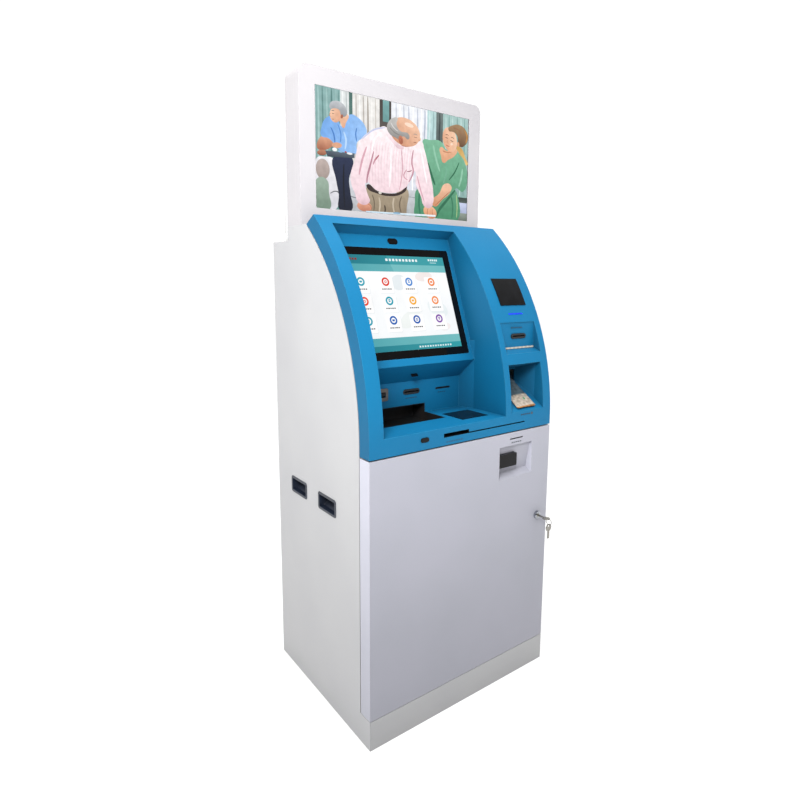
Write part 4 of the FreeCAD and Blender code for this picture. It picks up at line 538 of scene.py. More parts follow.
def drawShape(points, layer, inks, smooth=False, lean=(0, -1)):
    # one flat shape, a closed curve given a little thickness and made a mesh; its ink runs
    # from the first colour to the second along the lean
    curve = addPiece(bpy.ops.curve.primitive_bezier_circle_add, radius=1.0, location=(0, 0, 0))
    spline = curve.data.splines[0]
    if len(points) < 4:
        points = points + [((points[0][0] + points[-1][0]) / 2, (points[0][1] + points[-1][1]) / 2)]
    spline.bezier_points.add(len(points) - 4)
    for knot, (across, up) in zip(spline.bezier_points, points):
        knot.handle_left_type = knot.handle_right_type = "AUTO" if smooth else "VECTOR"
        knot.co = (across, up, 0)
    curve.data.dimensions = "2D"
    curve.data.fill_mode = "BOTH"
    curve.data.resolution_u = 5 if smooth else 1
    curve.data.extrude = 0.01
    bpy.ops.object.convert(target="MESH")
    piece = bpy.context.object
    closeMesh(piece)
    piece.location.z = layer
    applyPlace(piece)
    reach = [v.co.x * lean[0] + v.co.y * lean[1] for v in piece.data.vertices]
    low, span = min(reach), max(max(reach) - min(reach), 0.001)
    first, second = linear(inks[0]), linear(inks[-1])
    colours = piece.data.color_attributes.new("ink", "FLOAT_COLOR", "POINT")
    for number, place in enumerate(reach):
        part = (place - low) / span
        colours.data[number].color = [a + (b - a) * part for a, b in zip(first, second)]
    return piece


def drawPicture(shapes, name, matrix, body, slotName, material, start=0.02, step=0.025):
    # every shape lies a little in front of the one before it
    drawn = [drawShape(points, start + step * place, inks, *more)
             for place, (inks, points, *more) in enumerate(shapes)]
    picture = applyPlace(joinPieces(drawn), matrix)
    return finishPiece(picture, name, body, slotName, material)


def dashes(left, middle, height, widths, gap, ink):
    # a row of plain dashes where a label would be, centred on one level
    shapes = []
    for width in widths:
        shapes.append(((ink,), rectangle(left, middle - height / 2, left + width,
                                         middle + height / 2)))
        left += width + gap
    return shapes


# the picture on the display: curtains, three people and a walking frame

glassLow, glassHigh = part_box("display_glass")
advert = {
    "width": 598.0, "height": 348.0, "glow": 1.0, "gloss": 0.1, "body": 0.04, "contrast": 1.06,
    "blotch": 16.0, "depth": 0.10,
    "curtains": [
        # left, right, foot, colours
        (3, 87, 345, "#8fb3b1", "#6f9693"), (86, 118, 345, "#e0e4e4", "#cdd2d2"),
        (116, 129, 190, "#52736d", "#63857f"), (128, 227, 300, "#ebe9e6", "#d6d2ce"),
        (226, 271, 90, "#4a4541", "#5c5652"), (238, 262, 66, "#7fadac", "#6a9796"),
        (270, 417, 345, "#eff1f6", "#cfd3dd"), (415, 456, 345, "#bcd9d8", "#a3c2c8"),
        (453, 484, 120, "#727e7c", "#505c5b"), (482, 595, 272, "#a9c7c3", "#8fb2ad"),
    ],
    "folds": [
        # across, width, foot, colour
        (12, 6, 340, "#a6c6c4"), (26, 5, 340, "#688f8c"), (40, 6, 340, "#a0c1be"),
        (56, 7, 340, "#5f8784"), (71, 5, 340, "#9dbebb"), (80, 4, 340, "#6b928f"),
        (94, 4, 300, "#f4f6f6"), (106, 5, 300, "#bcc3c3"), (140, 6, 290, "#c6c1bc"),
        (153, 5, 290, "#f7f6f4"), (166, 6, 290, "#bdb7b1"), (182, 6, 290, "#a59d95"),
        (196, 6, 290, "#f3f1ee"), (210, 5, 290, "#cdc8c2"), (288, 5, 120, "#cbcfd9"),
        (303, 6, 120, "#ffffff"), (318, 5, 120, "#c3c8d4"), (338, 6, 200, "#c0c5d2"),
        (356, 5, 340, "#ffffff"), (374, 6, 340, "#bfc5d3"), (390, 5, 120, "#ffffff"),
        (404, 6, 120, "#b5bdcc"), (424, 5, 120, "#d3e8e7"), (440, 6, 120, "#9fbcbc"),
        (467, 5, 110, "#3d4847"), (494, 5, 262, "#c3dad7"), (508, 6, 262, "#7fa39e"),
        (524, 5, 262, "#c0d8d4"), (545, 6, 262, "#86aaa5"), (562, 5, 262, "#c4dcd8"),
        (578, 6, 262, "#85a9a4"),
    ],
}
skinLight, skinMid, skinDark = "#f0c5a8", "#dba688", "#a8684f"


def terrace():
    # lengths in millimetres, across from the left edge and down from the top edge
    shapes = [(("#e3e6e8", "#c3c8cb"), rectangle(2, 2, 596, 346))]
    for left, right, foot, top, low in advert["curtains"]:
        shapes.append(((top, low), rectangle(left, 3, right, foot), False, (0, 1)))
    for across, width, foot, colour in advert["folds"]:
        path = [(across, 4), (across + 1, foot * 0.3), (across - 1, foot * 0.7), (across, foot)]
        shapes.append(brush(colour, width, *path))
    return shapes + [  # floor and furniture behind the people
        (("#c9cdd2", "#aeb2b4"), rectangle(327, 262, 374, 345)),
        brush("#8d9499", 2, (327, 285), (350, 284), (374, 285)),
        (("#36443f", "#56635d"), rectangle(549, 266, 596, 284)),
        (("#c6cde6", "#aab4d0"), rectangle(550, 284, 596, 320)),
        (("#8f9a90", "#6c766c"), rectangle(550, 319, 596, 345)),
        (("#d7dae0", "#b3b6ba"), rectangle(110, 250, 190, 345)),
        brush("#7d7f86", 3, (112, 300), (150, 306), (188, 300)),
    ]


def helperInBlue():
    return [
        (("#ecebef", "#cfced6"), [(4, 205), (34, 197), (60, 200), (72, 250), (78, 300), (66, 345),
            (4, 345)], True),
        blob(("#bfb0aa", "#a4958f"), (24, 233), (23, 29)),
        (("#9fb3a4", "#748b7a"), [(4, 262), (36, 261), (44, 300), (46, 345), (4, 345)], True),
        brush("#55585e", 3, (48, 300), (70, 292), (84, 306), (80, 330)),
        (("#2c3654", "#141a2c"), [(62, 192), (124, 190), (129, 206), (114, 250), (118, 292), (121, 345),
            (80, 345), (77, 300), (69, 262)], True),
        brush("#0f1422", 5, (96, 210), (94, 260), (98, 340)),
        ((skinMid, skinDark), [(8, 158), (26, 140), (44, 142), (60, 158), (50, 170), (20, 180),
            (8, 178)], True),
        (("#79abe6", "#9cc4f3"), [(30, 96), (48, 82), (68, 78), (92, 104), (118, 66), (146, 70),
            (174, 94), (177, 110), (160, 128), (143, 142), (137, 176), (92, 178), (62, 156), (44, 144),
            (20, 140), (22, 116)], True, (1, 0.3)),
        brush("#4f82c6", 5, (52, 112), (62, 130), (66, 158)),
        brush("#4f82c6", 4, (142, 100), (138, 120), (142, 140)),
        brush("#bcd9fa", 6, (96, 118), (104, 140), (100, 168)),
        brush("#5b8fd2", 4, (76, 100), (86, 126), (84, 150)),
        ((skinLight, skinMid), [(80, 82), (112, 68), (104, 92), (95, 108), (86, 96)], True),
        ((skinLight, skinMid), oval((69, 74), (19, 23), 0.35), True, (1, 0.4)),
        (("#c6c9cd", "#8d9094"), [(50, 60), (52, 44), (68, 36), (88, 37), (104, 50), (108, 66),
            (98, 76), (88, 74), (82, 60), (66, 57)], True),
        blob((skinDark,), (90, 76), (4, 6), 0.3), brush("#7e7a78", 2, (55, 66), (60, 64), (65, 65)),
        brush("#5a4038", 1.4, (56, 71), (60, 73), (64, 72)),
        brush("#b97d62", 1.8, (52, 72), (49, 80), (54, 82)),
        brush("#a05e4e", 1.5, (55, 88), (60, 89), (64, 87)),
        blob((skinMid,), (72, 160), (17, 8), -0.1),
        blob(("#c48a6e", "#8f5740"), (22, 187), (16, 8), -0.15),
        (("#66727f", "#38424d"), [(33, 180), (134, 175), (133, 189), (40, 196)], False),
        blob(("#f2f6fa",), (64, 173), (8, 5)), blob(("#8fb8da",), (84, 176), (9, 3)),
        blob(("#f2f2f2",), (116, 178), (10, 3)), blob(("#b34b3f",), (102, 175), (4, 2)),
    ]


def helperInGreen():
    return [
        (("#82bb9c", "#3c8561"), [(396, 100), (426, 95), (472, 93), (500, 118), (543, 116), (566, 130),
            (588, 162), (594, 180), (577, 246), (540, 240), (549, 254), (553, 345), (368, 345),
            (365, 300), (372, 258), (402, 250), (430, 214), (414, 165), (402, 128)], True),
        brush("#2f6f52", 9, (418, 168), (436, 210), (450, 236)),
        brush("#2f6f52", 9, (540, 244), (500, 284), (468, 318), (456, 342)),
        brush("#34755a", 7, (384, 262), (382, 300), (388, 340)),
        brush("#2f6d50", 5, (556, 150), (536, 186), (510, 214)),
        brush("#93c6ab", 8, (440, 110), (452, 150), (470, 190)),
        brush("#93c6ab", 8, (572, 170), (566, 204), (556, 232)),
        brush("#76ae92", 7, (500, 172), (496, 200), (486, 226)),
        brush("#3b7b5d", 6, (520, 262), (530, 300), (526, 340)),
        brush("#a9c58a", 4, (545, 258), (550, 300), (548, 336)),
        ((skinLight, "#cd8f68"), [(492, 228), (522, 233), (518, 252), (482, 281), (447, 306),
            (437, 290), (468, 262)], True),
        brush("#a9694a", 2.5, (518, 250), (482, 278), (450, 303)),
        (("#eab896", "#d99f7b"), [(470, 112), (500, 120), (545, 110), (534, 132), (506, 148),
            (484, 160), (474, 140)], True),
        brush("#c58a68", 4, (480, 122), (505, 124), (532, 114)),
        (("#caa05c", "#e0be7c"), [(542, 100), (564, 102), (582, 128), (593, 156), (576, 138),
            (552, 118)], True),
        (("#f3cbae", "#e0a988"), oval((512, 82), (31, 40), -0.35), True, (-1, 0.5)),
        (("#a98a68", "#6a4c36"), [(504, 50), (526, 33), (560, 29), (586, 44), (594, 66), (582, 90),
            (556, 98), (549, 84), (546, 68), (532, 56)], True),
        brush("#c28d4d", 6, (577, 42), (590, 60), (584, 84)),
        brush("#9a7152", 4, (524, 42), (548, 44), (566, 58)),
        blob(("#d99f7b",), (550, 92), (5, 8), -0.2),
        brush("#6a4a3a", 1.8, (492, 69), (499, 67), (506, 70)),
        brush("#6a4a3a", 1.8, (516, 74), (524, 73), (532, 78)),
        brush("#4a3226", 1.9, (492, 77), (498, 78), (504, 79)),
        brush("#4a3226", 1.9, (514, 83), (521, 85), (528, 86)),
        brush("#cf9170", 1.6, (504, 82), (501, 92), (507, 94)),
        brush("#b5584f", 2.4, (493, 100), (501, 103), (510, 104)),
        blob(("#f7d8c2",), (520, 95), (6, 4), -0.3),
    ]


def olderPerson():
    # in a pink shirt, leaning on the walking frame
    shapes = [
        (("#b0a18b", "#8a7b66"), [(177, 268), (220, 284), (270, 288), (329, 258), (331, 320),
            (325, 345), (188, 345), (184, 308)], True),
        brush("#54493c", 6, (243, 318), (246, 332), (243, 345)),
        brush("#6f6251", 4, (196, 290), (204, 312), (202, 340)),
        brush("#6f6251", 5, (310, 285), (302, 312), (310, 340)),
        brush("#c5b8a4", 6, (222, 296), (226, 316), (222, 342)),
        brush("#c5b8a4", 6, (280, 292), (276, 314), (282, 342)),
        (("#3b2f2d",), [(176, 262), (215, 277), (260, 281), (310, 269), (330, 250), (330, 261),
            (308, 279), (262, 289), (214, 285), (177, 271)], True),
        blob(("#d3cec6",), (226, 282), (6, 4)),
        (("#fcf1f3", "#eccfd7"), [(250, 82), (220, 88), (186, 105), (156, 132), (143, 156), (135, 190),
            (125, 215), (118, 240), (120, 264), (134, 294), (143, 314), (183, 310), (176, 282),
            (173, 256), (210, 274), (250, 280), (290, 275), (320, 260), (336, 245), (341, 228),
            (352, 208), (361, 200), (367, 240), (390, 280), (401, 305), (436, 302), (441, 256),
            (430, 214), (415, 165), (401, 126), (390, 105), (366, 116), (330, 124), (290, 118),
            (262, 98)], True),
    ]
    for place in range(15):
        across = 182 + place * 11
        shapes.append(brush("#e6c8d1", 1.6, (across + 12, 128), (across + 4, 190),
                            (across + 6, 262)))
    return shapes + [
        brush("#bb8a98", 6, (202, 160), (190, 200), (178, 240), (176, 258)),
        brush("#d7a9b5", 7, (176, 150), (160, 190), (148, 236)),
        brush("#c893a1", 5, (222, 170), (206, 186), (200, 200)),
        brush("#b55f6c", 3, (221, 168), (214, 178), (208, 186)),
        brush("#d7a9b5", 4, (306, 136), (313, 200), (300, 268)),
        brush("#c694a2", 6, (356, 136), (350, 176), (356, 204), (338, 238)),
        brush("#d1a3af", 5, (330, 200), (318, 222), (334, 232)),
        brush("#9a6a74", 3, (330, 206), (342, 204), (350, 200)),
        brush("#fff9fb", 7, (230, 100), (206, 124), (196, 158)),
        brush("#fff9fb", 6, (386, 130), (398, 176), (414, 236)),
        brush("#fdf3f5", 7, (268, 140), (266, 200), (262, 262)),
        brush("#d7a9b5", 5, (372, 214), (386, 256), (404, 296)),
        brush("#c9cde6", 5, (246, 84), (200, 98), (160, 130)),
        (("#fbf0f3", "#e4c6ce"), [(248, 92), (262, 100), (300, 128), (318, 134), (298, 140),
            (272, 124)], True),
        ((skinDark,), [(290, 104), (330, 112), (366, 112), (350, 124), (314, 130), (298, 122)], True),
        ((skinLight, "#cf9576"), oval((322, 86), (61, 43), 0.1), True, (-0.7, 1)),
        blob(("#f9dcc8",), (338, 62), (18, 6), 0.12),
        (("#c9c7c4", "#8d8b89"), [(251, 84), (258, 64), (276, 50), (292, 48), (288, 66), (300, 84),
            (338, 92), (336, 106), (314, 100), (302, 112), (284, 108), (264, 102)], True),
        brush("#8b8886", 4, (262, 80), (278, 92), (300, 98)),
        brush("#d9d7d5", 3, (266, 66), (276, 78), (294, 88)),
        blob(("#c98268", "#a35f48"), (305, 112), (9, 13), -0.2),
        brush("#8d5240", 1.6, (303, 106), (308, 112), (304, 119)),
        blob((skinLight, skinMid), (380, 100), (5, 6), 0.5),
        brush("#a59a94", 2.2, (356, 88), (364, 86), (371, 89)),
        brush("#6b4436", 1.5, (358, 95), (364, 97), (370, 96)),
        brush("#9c5644", 1.8, (356, 113), (362, 112), (368, 111)),
        blob(("#e3a98f", "#c07d64"), (167, 328), (27, 15), 0.05),
        brush("#b06f57", 2, (176, 318), (190, 326), (194, 338)),
        blob(("#f3c19c", "#c98460"), (428, 326), (29, 20), 0.3),
        brush("#b06f57", 2, (420, 314), (416, 330), (422, 343)),
        brush("#b06f57", 2, (438, 316), (438, 330), (444, 343)),
        (("#f2d7de", "#d9b7c0"), [(141, 306), (183, 301), (186, 313), (146, 319)], True),
        (("#f2d7de", "#d9b7c0"), [(399, 298), (436, 294), (437, 306), (402, 309)], True),
        (("#f4fafd", "#b9d3e3"), [(172, 341), (300, 338), (452, 334), (452, 340), (300, 344),
            (172, 345)], False),
        brush("#7fa8c4", 5, (276, 340), (290, 339), (304, 339)),
    ]


def advertShapes():
    # turned over, because the drawing counts downwards and the board upwards
    shapes = []
    for inks, points, *more in terrace() + helperInBlue() + helperInGreen() + olderPerson():
        flipped = [(x, advert["height"] - y) for x, y in points]
        lean = more[1] if len(more) > 1 else (0, 1)
        shapes.append((inks, flipped, more[0] if more else False, (lean[0], -lean[1])))
    return shapes


middleX = (glassLow.x + glassHigh.x) / 2
middleZ = (glassLow.z + glassHigh.z) / 2
advertCorner = Vector((middleX - advert["width"] / 2 * millimetre, glassLow.y,
                       middleZ - advert["height"] / 2 * millimetre))
drawPicture(advertShapes(), "advert_picture", boardMatrix(advertCorner), "cabinet",
            "advert_glass", litPicture("litAdvertPanel", advert))
print("advert picture drawn")

# the menu on the touch screen, drawn on the leaning glass

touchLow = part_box("touch_glass")[0]
menu = {
    "glassSheet": 4.0, "lean": math.radians(20), "glow": 0.9, "gloss": 0.1, "body": 0.05,
    "contrast": 1.1, "blotch": 60.0, "depth": 0.03,
    "left": 19.0, "right": 395.0, "low": 24.0, "high": 320.0,
    "header": "#16808f", "headerLit": "#3aa6ad", "bar": "#52aab3", "barLit": "#7fc4c6",
    "columns": [64, 151, 238, 326], "rows": [237, 177, 117], "tile": (53, 52),
    "rings": [["#2fa9bd", "#e23a1e", "#4f8fd6", "#f58a3c"],
              ["#ef4718", "#1fa5ba", "#f7b21a", "#f59248"],
              ["#35a8bb", "#1c66b8", "#1b5fb5", "#8b58b0"]],
}


def menuShapes():
    left, right, low, high = menu["left"], menu["right"], menu["low"], menu["high"]
    shapes = [
        (("#ffffff", "#f6f9fb"), rectangle(left, low, right, high)),
        blob(("#e9eff2",), (200, 235), (30, 24), 0.3),
        blob(("#f5ecea",), (300, 255), (34, 16), 0.1),
        blob(("#eef5f6",), (330, 150), (40, 26), -0.4),
        blob(("#f1f5f3",), (215, 120), (46, 22), 0.5),
        blob(("#f6efee",), (345, 90), (22, 12), 0.2),
        ((menu["bar"], menu["barLit"]), rectangle(left, 269, right, 293), False, (1, 0)),
        ((menu["header"], menu["headerLit"]), rectangle(left, 292, right, high), False, (1, 0)),
        ((menu["bar"], menu["barLit"]), rectangle(left, 40, right, 65), False, (1, 0)),
        ((menu["header"], menu["headerLit"]), rectangle(left, low, right, 41), False, (1, 0)),
        (("#7cc3c6",), [(190, 269), (395, 269), (395, 293), (182, 293)]),
        (("#3fa3ab",), [(182, 292), (395, 292), (395, high), (172, high)]),
    ]
    for row, level in enumerate(menu["rows"]):
        for column, across in enumerate(menu["columns"]):
            colour = menu["rings"][row][column]
            shapes.append((("#e3eaee",), tile((across + 0.8, level - 11), menu["tile"], 4)))
            shapes.append((("#ffffff",), tile((across, level - 10), menu["tile"], 4)))
            shapes.append(blob((colour,), (across, level), (13.5, 13.5), 0, 24))
            shapes.append(blob(("#ffffff",), (across, level), (8.0, 8.0), 0, 20))
            glyph = (row + column) % 3
            if glyph == 0:
                shapes.append(((colour,), tile((across, level), (9, 6), 1.5)))
            elif glyph == 1:
                shapes.append(blob((colour,), (across, level), (4.2, 4.2)))
                shapes.append(blob(("#ffffff",), (across, level), (2, 2)))
            else:
                shapes.append(((colour,), tile((across, level + 1), (6, 9), 1.2)))
                shapes.append((("#ffffff",), rectangle(across - 2, level, across + 2, level + 1.5)))
            shapes += dashes(across - 17, level - 23, 3.4, [5, 6, 4, 6, 5], 2, "#2f3133")
    shapes += dashes(182 - 16, 306, 7.5, [8, 7, 8, 7, 8, 7, 8, 7, 8, 7], 5, "#f3fbfc")
    shapes += dashes(330, 309, 6, [6, 5, 6, 5, 6], 2.5, "#eaf7f8")
    shapes += dashes(336, 300, 2, [26], 2, "#cdebed")
    shapes += dashes(left + 10, 306, 6.5, [6, 7, 6, 7], 3, "#8c2f2a")
    shapes += dashes(226, 32, 5, [6, 5, 6, 5, 6, 5, 6, 5, 6, 5, 6, 5, 6], 4.5, "#e6f5f6")
    return shapes


footFront = Vector((touchLow.x, touchLow.y,
                    touchLow.z + menu["glassSheet"] * math.sin(menu["lean"]) * millimetre))
panelUp = Vector((0, math.sin(menu["lean"]), math.cos(menu["lean"])))
drawPicture(menuShapes(), "touch_menu", boardMatrix(footFront, panelUp),
            "hood", "screen_glass", litPicture("litTouchPanel", menu), 0.02, 0.012)
print("touch menu drawn")

# printed marks: plain dashes where the labels are

marks = {"navy": "#103247", "dark": "#3c434a", "blueDark": "#0a4e6e", "mouthProud": 1.5,
         "readerLabel": 925.0, "nicheWall": -218.0, "nicheLabel": 1138.0, "lipLabel": 872.0,
         "scoopX": 195.5, "scoopLabel": 789.0}


def printedMarks(name, corner, body, slotName, shapes):
    material = litPicture(name + "Ink", {"gloss": 0.1, "glow": 0.0, "body": 1.0, "contrast": 1.0,
                                         "blotch": 2.0, "depth": 0.08})
    return drawPicture(shapes, name, boardMatrix(corner), body, slotName, material)


def middleOf(nodeName):
    low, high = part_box(nodeName)
    return (low.x + high.x) / 2


def inMillimetres(*place):
    return Vector(place) * millimetre


navy = marks["navy"]
readerX = middleOf("card_reader")
ticketX = (middleOf("ticket_unit") - readerX) / millimetre
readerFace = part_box("card_reader")[0].y + marks["mouthProud"] * millimetre
printedMarks("recess_marks", Vector((readerX, readerFace, marks["readerLabel"] * millimetre)),
             "hood", "hood_paint", dashes(-22, 0, 3.2, [7, 6, 7, 6, 7], 2.5, navy)
             + dashes(ticketX - 20, 6, 3, [6, 6, 6, 6], 2.5, navy))
nicheX = middleOf("bank_card_reader") / millimetre
printedMarks("niche_marks", inMillimetres(nicheX, marks["nicheWall"], marks["nicheLabel"]), "hood",
             "hood_paint", dashes(-34, 0, 4.5, [6], 4, navy)
             + dashes(-24, 0, 3.4, [6, 5, 6, 5, 6], 2.5, navy))
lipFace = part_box("hood_shell")[0].y / millimetre
printedMarks("lip_marks", inMillimetres(0, lipFace, marks["lipLabel"]), "hood", "hood_paint",
             dashes(212, 0, 4, [6, 7, 6, 7, 6], 2.5, navy)
             + [blob((marks["dark"],), (262, 0), (4, 4))]
             + dashes(-92, -38, 3.6, [7, 6, 7, 6, 7, 6, 7], 2.5, marks["blueDark"]))
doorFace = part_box("front_door")[0].y / millimetre
printedMarks("door_marks", inMillimetres(marks["scoopX"], doorFace, marks["scoopLabel"]), "door",
             "door_paint", dashes(-22, 0, 3.6, [7, 6, 7, 6, 7], 2.6, marks["dark"]))
print("marks printed")

# notes in the outlet

notes = {"width": 77.0, "length": 122.0, "sheet": 0.25, "count": 4, "slope": 0.7, "fan": 1.2,
         "gap": 0.6, "clear": 0.9, "foot": (8.0, 6.0), "wave": 0.18, "waves": 1.7, "ripple": 18.0,
         "shift": 0.7}


def bankNotes():
    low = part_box("banknotes")[0]
    slope = math.atan(notes["slope"])
    across = middleOf("banknotes")
    made = []
    for place in range(notes["count"]):
        sheet = addPiece(bpy.ops.mesh.primitive_grid_add, x_subdivisions=16, y_subdivisions=24,
                         size=1.0)
        sheet.data.uv_layers[0].name = "note"
        sheet.scale = (notes["width"] * millimetre, notes["length"] * millimetre, 1.0)
        applyPlace(sheet)
        for vertex in sheet.data.vertices:
            along = vertex.co.x / (notes["width"] * millimetre) * math.pi
            wave = (math.sin(along * notes["waves"] + place)
                    * math.cos(vertex.co.y * notes["ripple"] + place * notes["shift"]))
            vertex.co.z = (1.0 + wave) * notes["wave"] * millimetre
        modifier = sheet.modifiers.new("thick", "SOLIDIFY")
        modifier.thickness = notes["sheet"] * millimetre
        applyModifiers(sheet)
        spread = notes["fan"] * (place - (notes["count"] - 1) / 2)
        turn = Matrix.Rotation(math.radians(spread), 4, "Z")
        lift = Matrix.Translation((0, notes["length"] / 2 * millimetre,
                                   (notes["clear"] + place * notes["gap"]) * millimetre))
        lean = Matrix.Rotation(slope, 4, "X")
        foot = Matrix.Translation((across, low.y + notes["foot"][0] * millimetre,
                                   low.z + notes["foot"][1] * millimetre))
        made.append(applyPlace(sheet, foot @ lean @ lift @ turn))
    stack = smoothUnder(joinPieces(made), 40)
    finishPiece(stack, "note_stack", "hood", "note_paper")
    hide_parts("banknotes")


bankNotes()
print("notes laid")

# small fittings

fittings = {"windowSize": 15.6, "windowPlace": 53.0, "windowSink": 0.6, "windowDeep": 3.0,
            "lampWidth": 24.0, "lampDepth": 20.0, "lampSheet": 2.0,
            "lampPlace": (-74.0, -100.0, 1003.7), "ceilingRise": 58.0, "ceilingRun": 55.0,
            "guardWire": 0.85, "guardRings": [18, 30, 42, 54], "guardBehind": 275.9,
            "guardStay": (2.0, 1.4, 52.0), "stayMiddle": 36.0, "stayLap": 0.2,
            "screwHead": 4.5, "screwTall": 1.9, "screwRows": 5, "crossSize": (5.0, 2.4, 1.0)}


def roundedBlock(size, edge, matrix):
    # a block with its edges rounded off
    block = addPiece(bpy.ops.mesh.primitive_cube_add, size=1.0)
    block.scale = [side * millimetre for side in size]
    applyPlace(block)
    editAll(bpy.ops.mesh.bevel, offset=edge * millimetre, segments=3, affect="EDGES")
    return smoothUnder(applyPlace(block, matrix), 40)


def fingerWindow():
    low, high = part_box("fingerprint_reader")
    middle = Vector((low.x + fittings["windowPlace"] * millimetre,
                     low.y + fittings["windowSink"] * millimetre, (low.z + high.z) / 2))
    size = fittings["windowSize"]
    block = roundedBlock((size, fittings["windowDeep"], size), 1.0, Matrix.Translation(middle))
    finishPiece(block, "finger_window", "hood", "gloss_black")


def recessLamp():
    # a small black sensor cover on the sloping ceiling over the back wall
    slope = math.atan2(fittings["ceilingRise"], fittings["ceilingRun"])
    ceiling = (Matrix.Translation(inMillimetres(*fittings["lampPlace"]))
               @ Matrix.Rotation(slope, 4, "X"))
    block = roundedBlock((fittings["lampWidth"], fittings["lampDepth"], fittings["lampSheet"]), 0.6,
                         ceiling)
    finishPiece(block, "recess_lamp", "hood", "gloss_black")


def fanGuard():
    # rings of wire with four stays in front of the fan
    low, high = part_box("fan_frame")
    middle = Vector(((low.x + high.x) / 2, fittings["guardBehind"] * millimetre,
                     (low.z + high.z) / 2))
    wires = []
    for radius in fittings["guardRings"]:
        ring = addPiece(bpy.ops.mesh.primitive_torus_add, major_radius=radius * millimetre,
                        minor_radius=fittings["guardWire"] * millimetre, major_segments=48,
                        minor_segments=8, location=middle, rotation=(math.pi / 2, 0, 0))
        wires.append(applyPlace(ring))
    for step in range(4):
        turn = Matrix.Rotation(math.radians(45 + 90 * step), 4, "Y")
        shift = Matrix.Translation(inMillimetres(0, fittings["stayLap"], fittings["stayMiddle"]))
        wires.append(roundedBlock(fittings["guardStay"], 0.5,
                                  Matrix.Translation(middle) @ turn @ shift))
    finishPiece(smoothUnder(joinPieces(wires), 50), "fan_guard", "cabinet", "screw_steel")


def panelScrews():
    # pan-head screws with a cross recess, one at each place of the rear panel's screws
    low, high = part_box("rear_screws")
    radius = fittings["screwHead"] * millimetre
    head = applyPlace(addPiece(bpy.ops.mesh.primitive_uv_sphere_add, segments=24, ring_count=12,
                               radius=radius, location=(0, 0, 0), rotation=(-math.pi / 2, 0, 0)))
    head.scale = (1, fittings["screwTall"] / fittings["screwHead"], 1)
    applyPlace(head)
    editAll(bpy.ops.mesh.bisect, plane_co=(0, 0, 0), plane_no=(0, 1, 0), clear_inner=True,
            use_fill=True)
    for turn in (0, math.pi / 2):
        slot = addPiece(bpy.ops.mesh.primitive_cube_add, size=1.0)
        slot.scale = inMillimetres(*fittings["crossSize"])
        applyPlace(slot, Matrix.Translation((0, fittings["screwTall"] * millimetre, 0))
                   @ Matrix.Rotation(turn, 4, "Y") @ Matrix.Diagonal((*slot.scale, 1)))
        cutter = head.modifiers.new("recess", "BOOLEAN")
        cutter.operation = "DIFFERENCE"
        cutter.object = slot
        applyModifiers(head)
        bpy.data.objects.remove(slot)
    closeMesh(head)
    smoothUnder(head, 35)
    heads = []
    rows = fittings["screwRows"]
    for across in (low.x + radius, high.x - radius):
        for step in range(rows):
            level = low.z + radius + step * (high.z - low.z - 2 * radius) / (rows - 1)
            heads.append(copyPiece(head, (across, low.y, level)))
    bpy.data.objects.remove(head)
    finishPiece(joinPieces(heads), "panel_screws", "cabinet", "screw_steel")
    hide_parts("rear_screws")


fingerWindow()
recessLamp()
fanGuard()
panelScrews()
print("fittings made")

# floor, light and camera

studio = {"floor": "#f4f4f4", "front": 0.36, "back": 1.1, "lookAlong": (0.587, 0.81, 0.0),
          "floorSide": 60.0, "sunFrom": (-0.06, -0.14, 0.98), "sunPower": 1.78, "sunSpread": 35.0,
          "box": (-1.75, -1.7, 2.5), "boxPower": 30.0, "boxSize": 0.9, "boxSpread": 100.0,
          "boxAim": (0, 0, 1.5)}


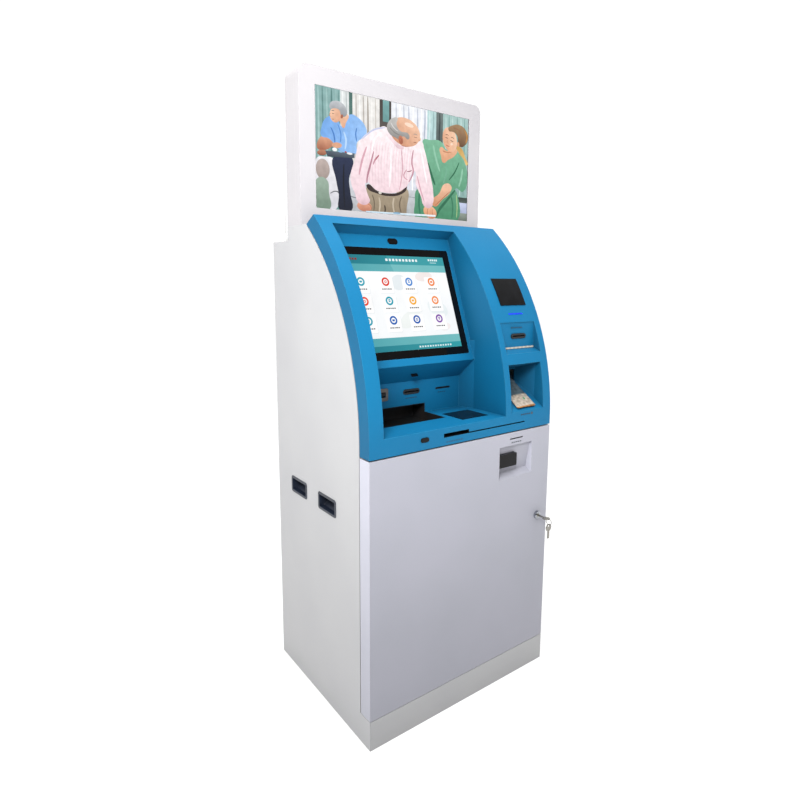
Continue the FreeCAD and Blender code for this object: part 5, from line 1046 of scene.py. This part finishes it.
def studioFloor():
    floor = addPiece(bpy.ops.mesh.primitive_plane_add, size=studio["floorSide"], location=(0, 0, 0))
    floor.name = "studio_floor"
    material, tree, shader, place = startMaterial("paleStudioFloor", {"Roughness": 0.9})
    cloud = addNode(tree, "TexNoise", None, {"Vector": place, "Scale": 0.8, "Detail": 2.0})
    base = addNode(tree, "ValToRGB", None, {"Fac": cloud},
                   [(0.3, "#f5f5f5"), (0.7, studio["floor"])])
    feed(tree, shader, {"Base Color": base})
    floor.data.materials.append(material)


def studioLight(kind, place, power, aim):
    light = addPiece(bpy.ops.object.light_add, type=kind, location=place)
    light.data.energy = power
    light.rotation_euler = Vector(aim).to_track_quat("-Z", "Y").to_euler()
    return light.data


def studioCamera():
    view = {"place": (-1.1249, -1.4577, 1.2715), "yaw": 35.95, "pitch": 8.14, "roll": 0.22,
            "lens": 25.87, "shiftX": 0.00495, "shiftY": -0.0421}
    camera = addPiece(bpy.ops.object.camera_add, location=view["place"])
    turn = (Matrix.Rotation(-math.radians(view["yaw"]), 3, "Z")
            @ Matrix.Rotation(math.radians(90 - view["pitch"]), 3, "X")
            @ Matrix.Rotation(math.radians(view["roll"]), 3, "Z"))
    camera.rotation_euler = turn.to_euler()
    camera.data.sensor_width = 36.0
    camera.data.lens = view["lens"]
    camera.data.shift_x = view["shiftX"]
    camera.data.shift_y = view["shiftY"]
    bpy.context.scene.camera = camera


def studioWorld():
    # a white wall behind the kiosk and a dimmer room in front of it
    world = bpy.context.scene.world or bpy.data.worlds.new("studio")
    bpy.context.scene.world = world
    world.use_nodes = True
    tree = world.node_tree
    place = addNode(tree, "TexCoord")
    along = addNode(tree, "VectorMath", {"operation": "DOT_PRODUCT"},
                    {0: place.outputs["Generated"], 1: studio["lookAlong"]})
    level = addNode(tree, "MapRange", {"interpolation_type": "SMOOTHSTEP"},
                    {"Value": along, "From Min": -0.1, "From Max": 0.7,
                     "To Min": studio["front"], "To Max": studio["back"]})
    feed(tree, tree.nodes["Background"], {"Color": (1, 1, 1, 1), "Strength": level})


studioFloor()
sun = studioLight("SUN", (0, 0, 4), studio["sunPower"], -Vector(studio["sunFrom"]))
sun.angle = math.radians(studio["sunSpread"])
box = studioLight("AREA", studio["box"], studio["boxPower"],
                  Vector(studio["boxAim"]) - Vector(studio["box"]))
box.size = studio["boxSize"]
box.spread = math.radians(studio["boxSpread"])
studioWorld()
studioCamera()
bpy.context.scene.view_settings.view_transform = "Standard"
print("studio set")
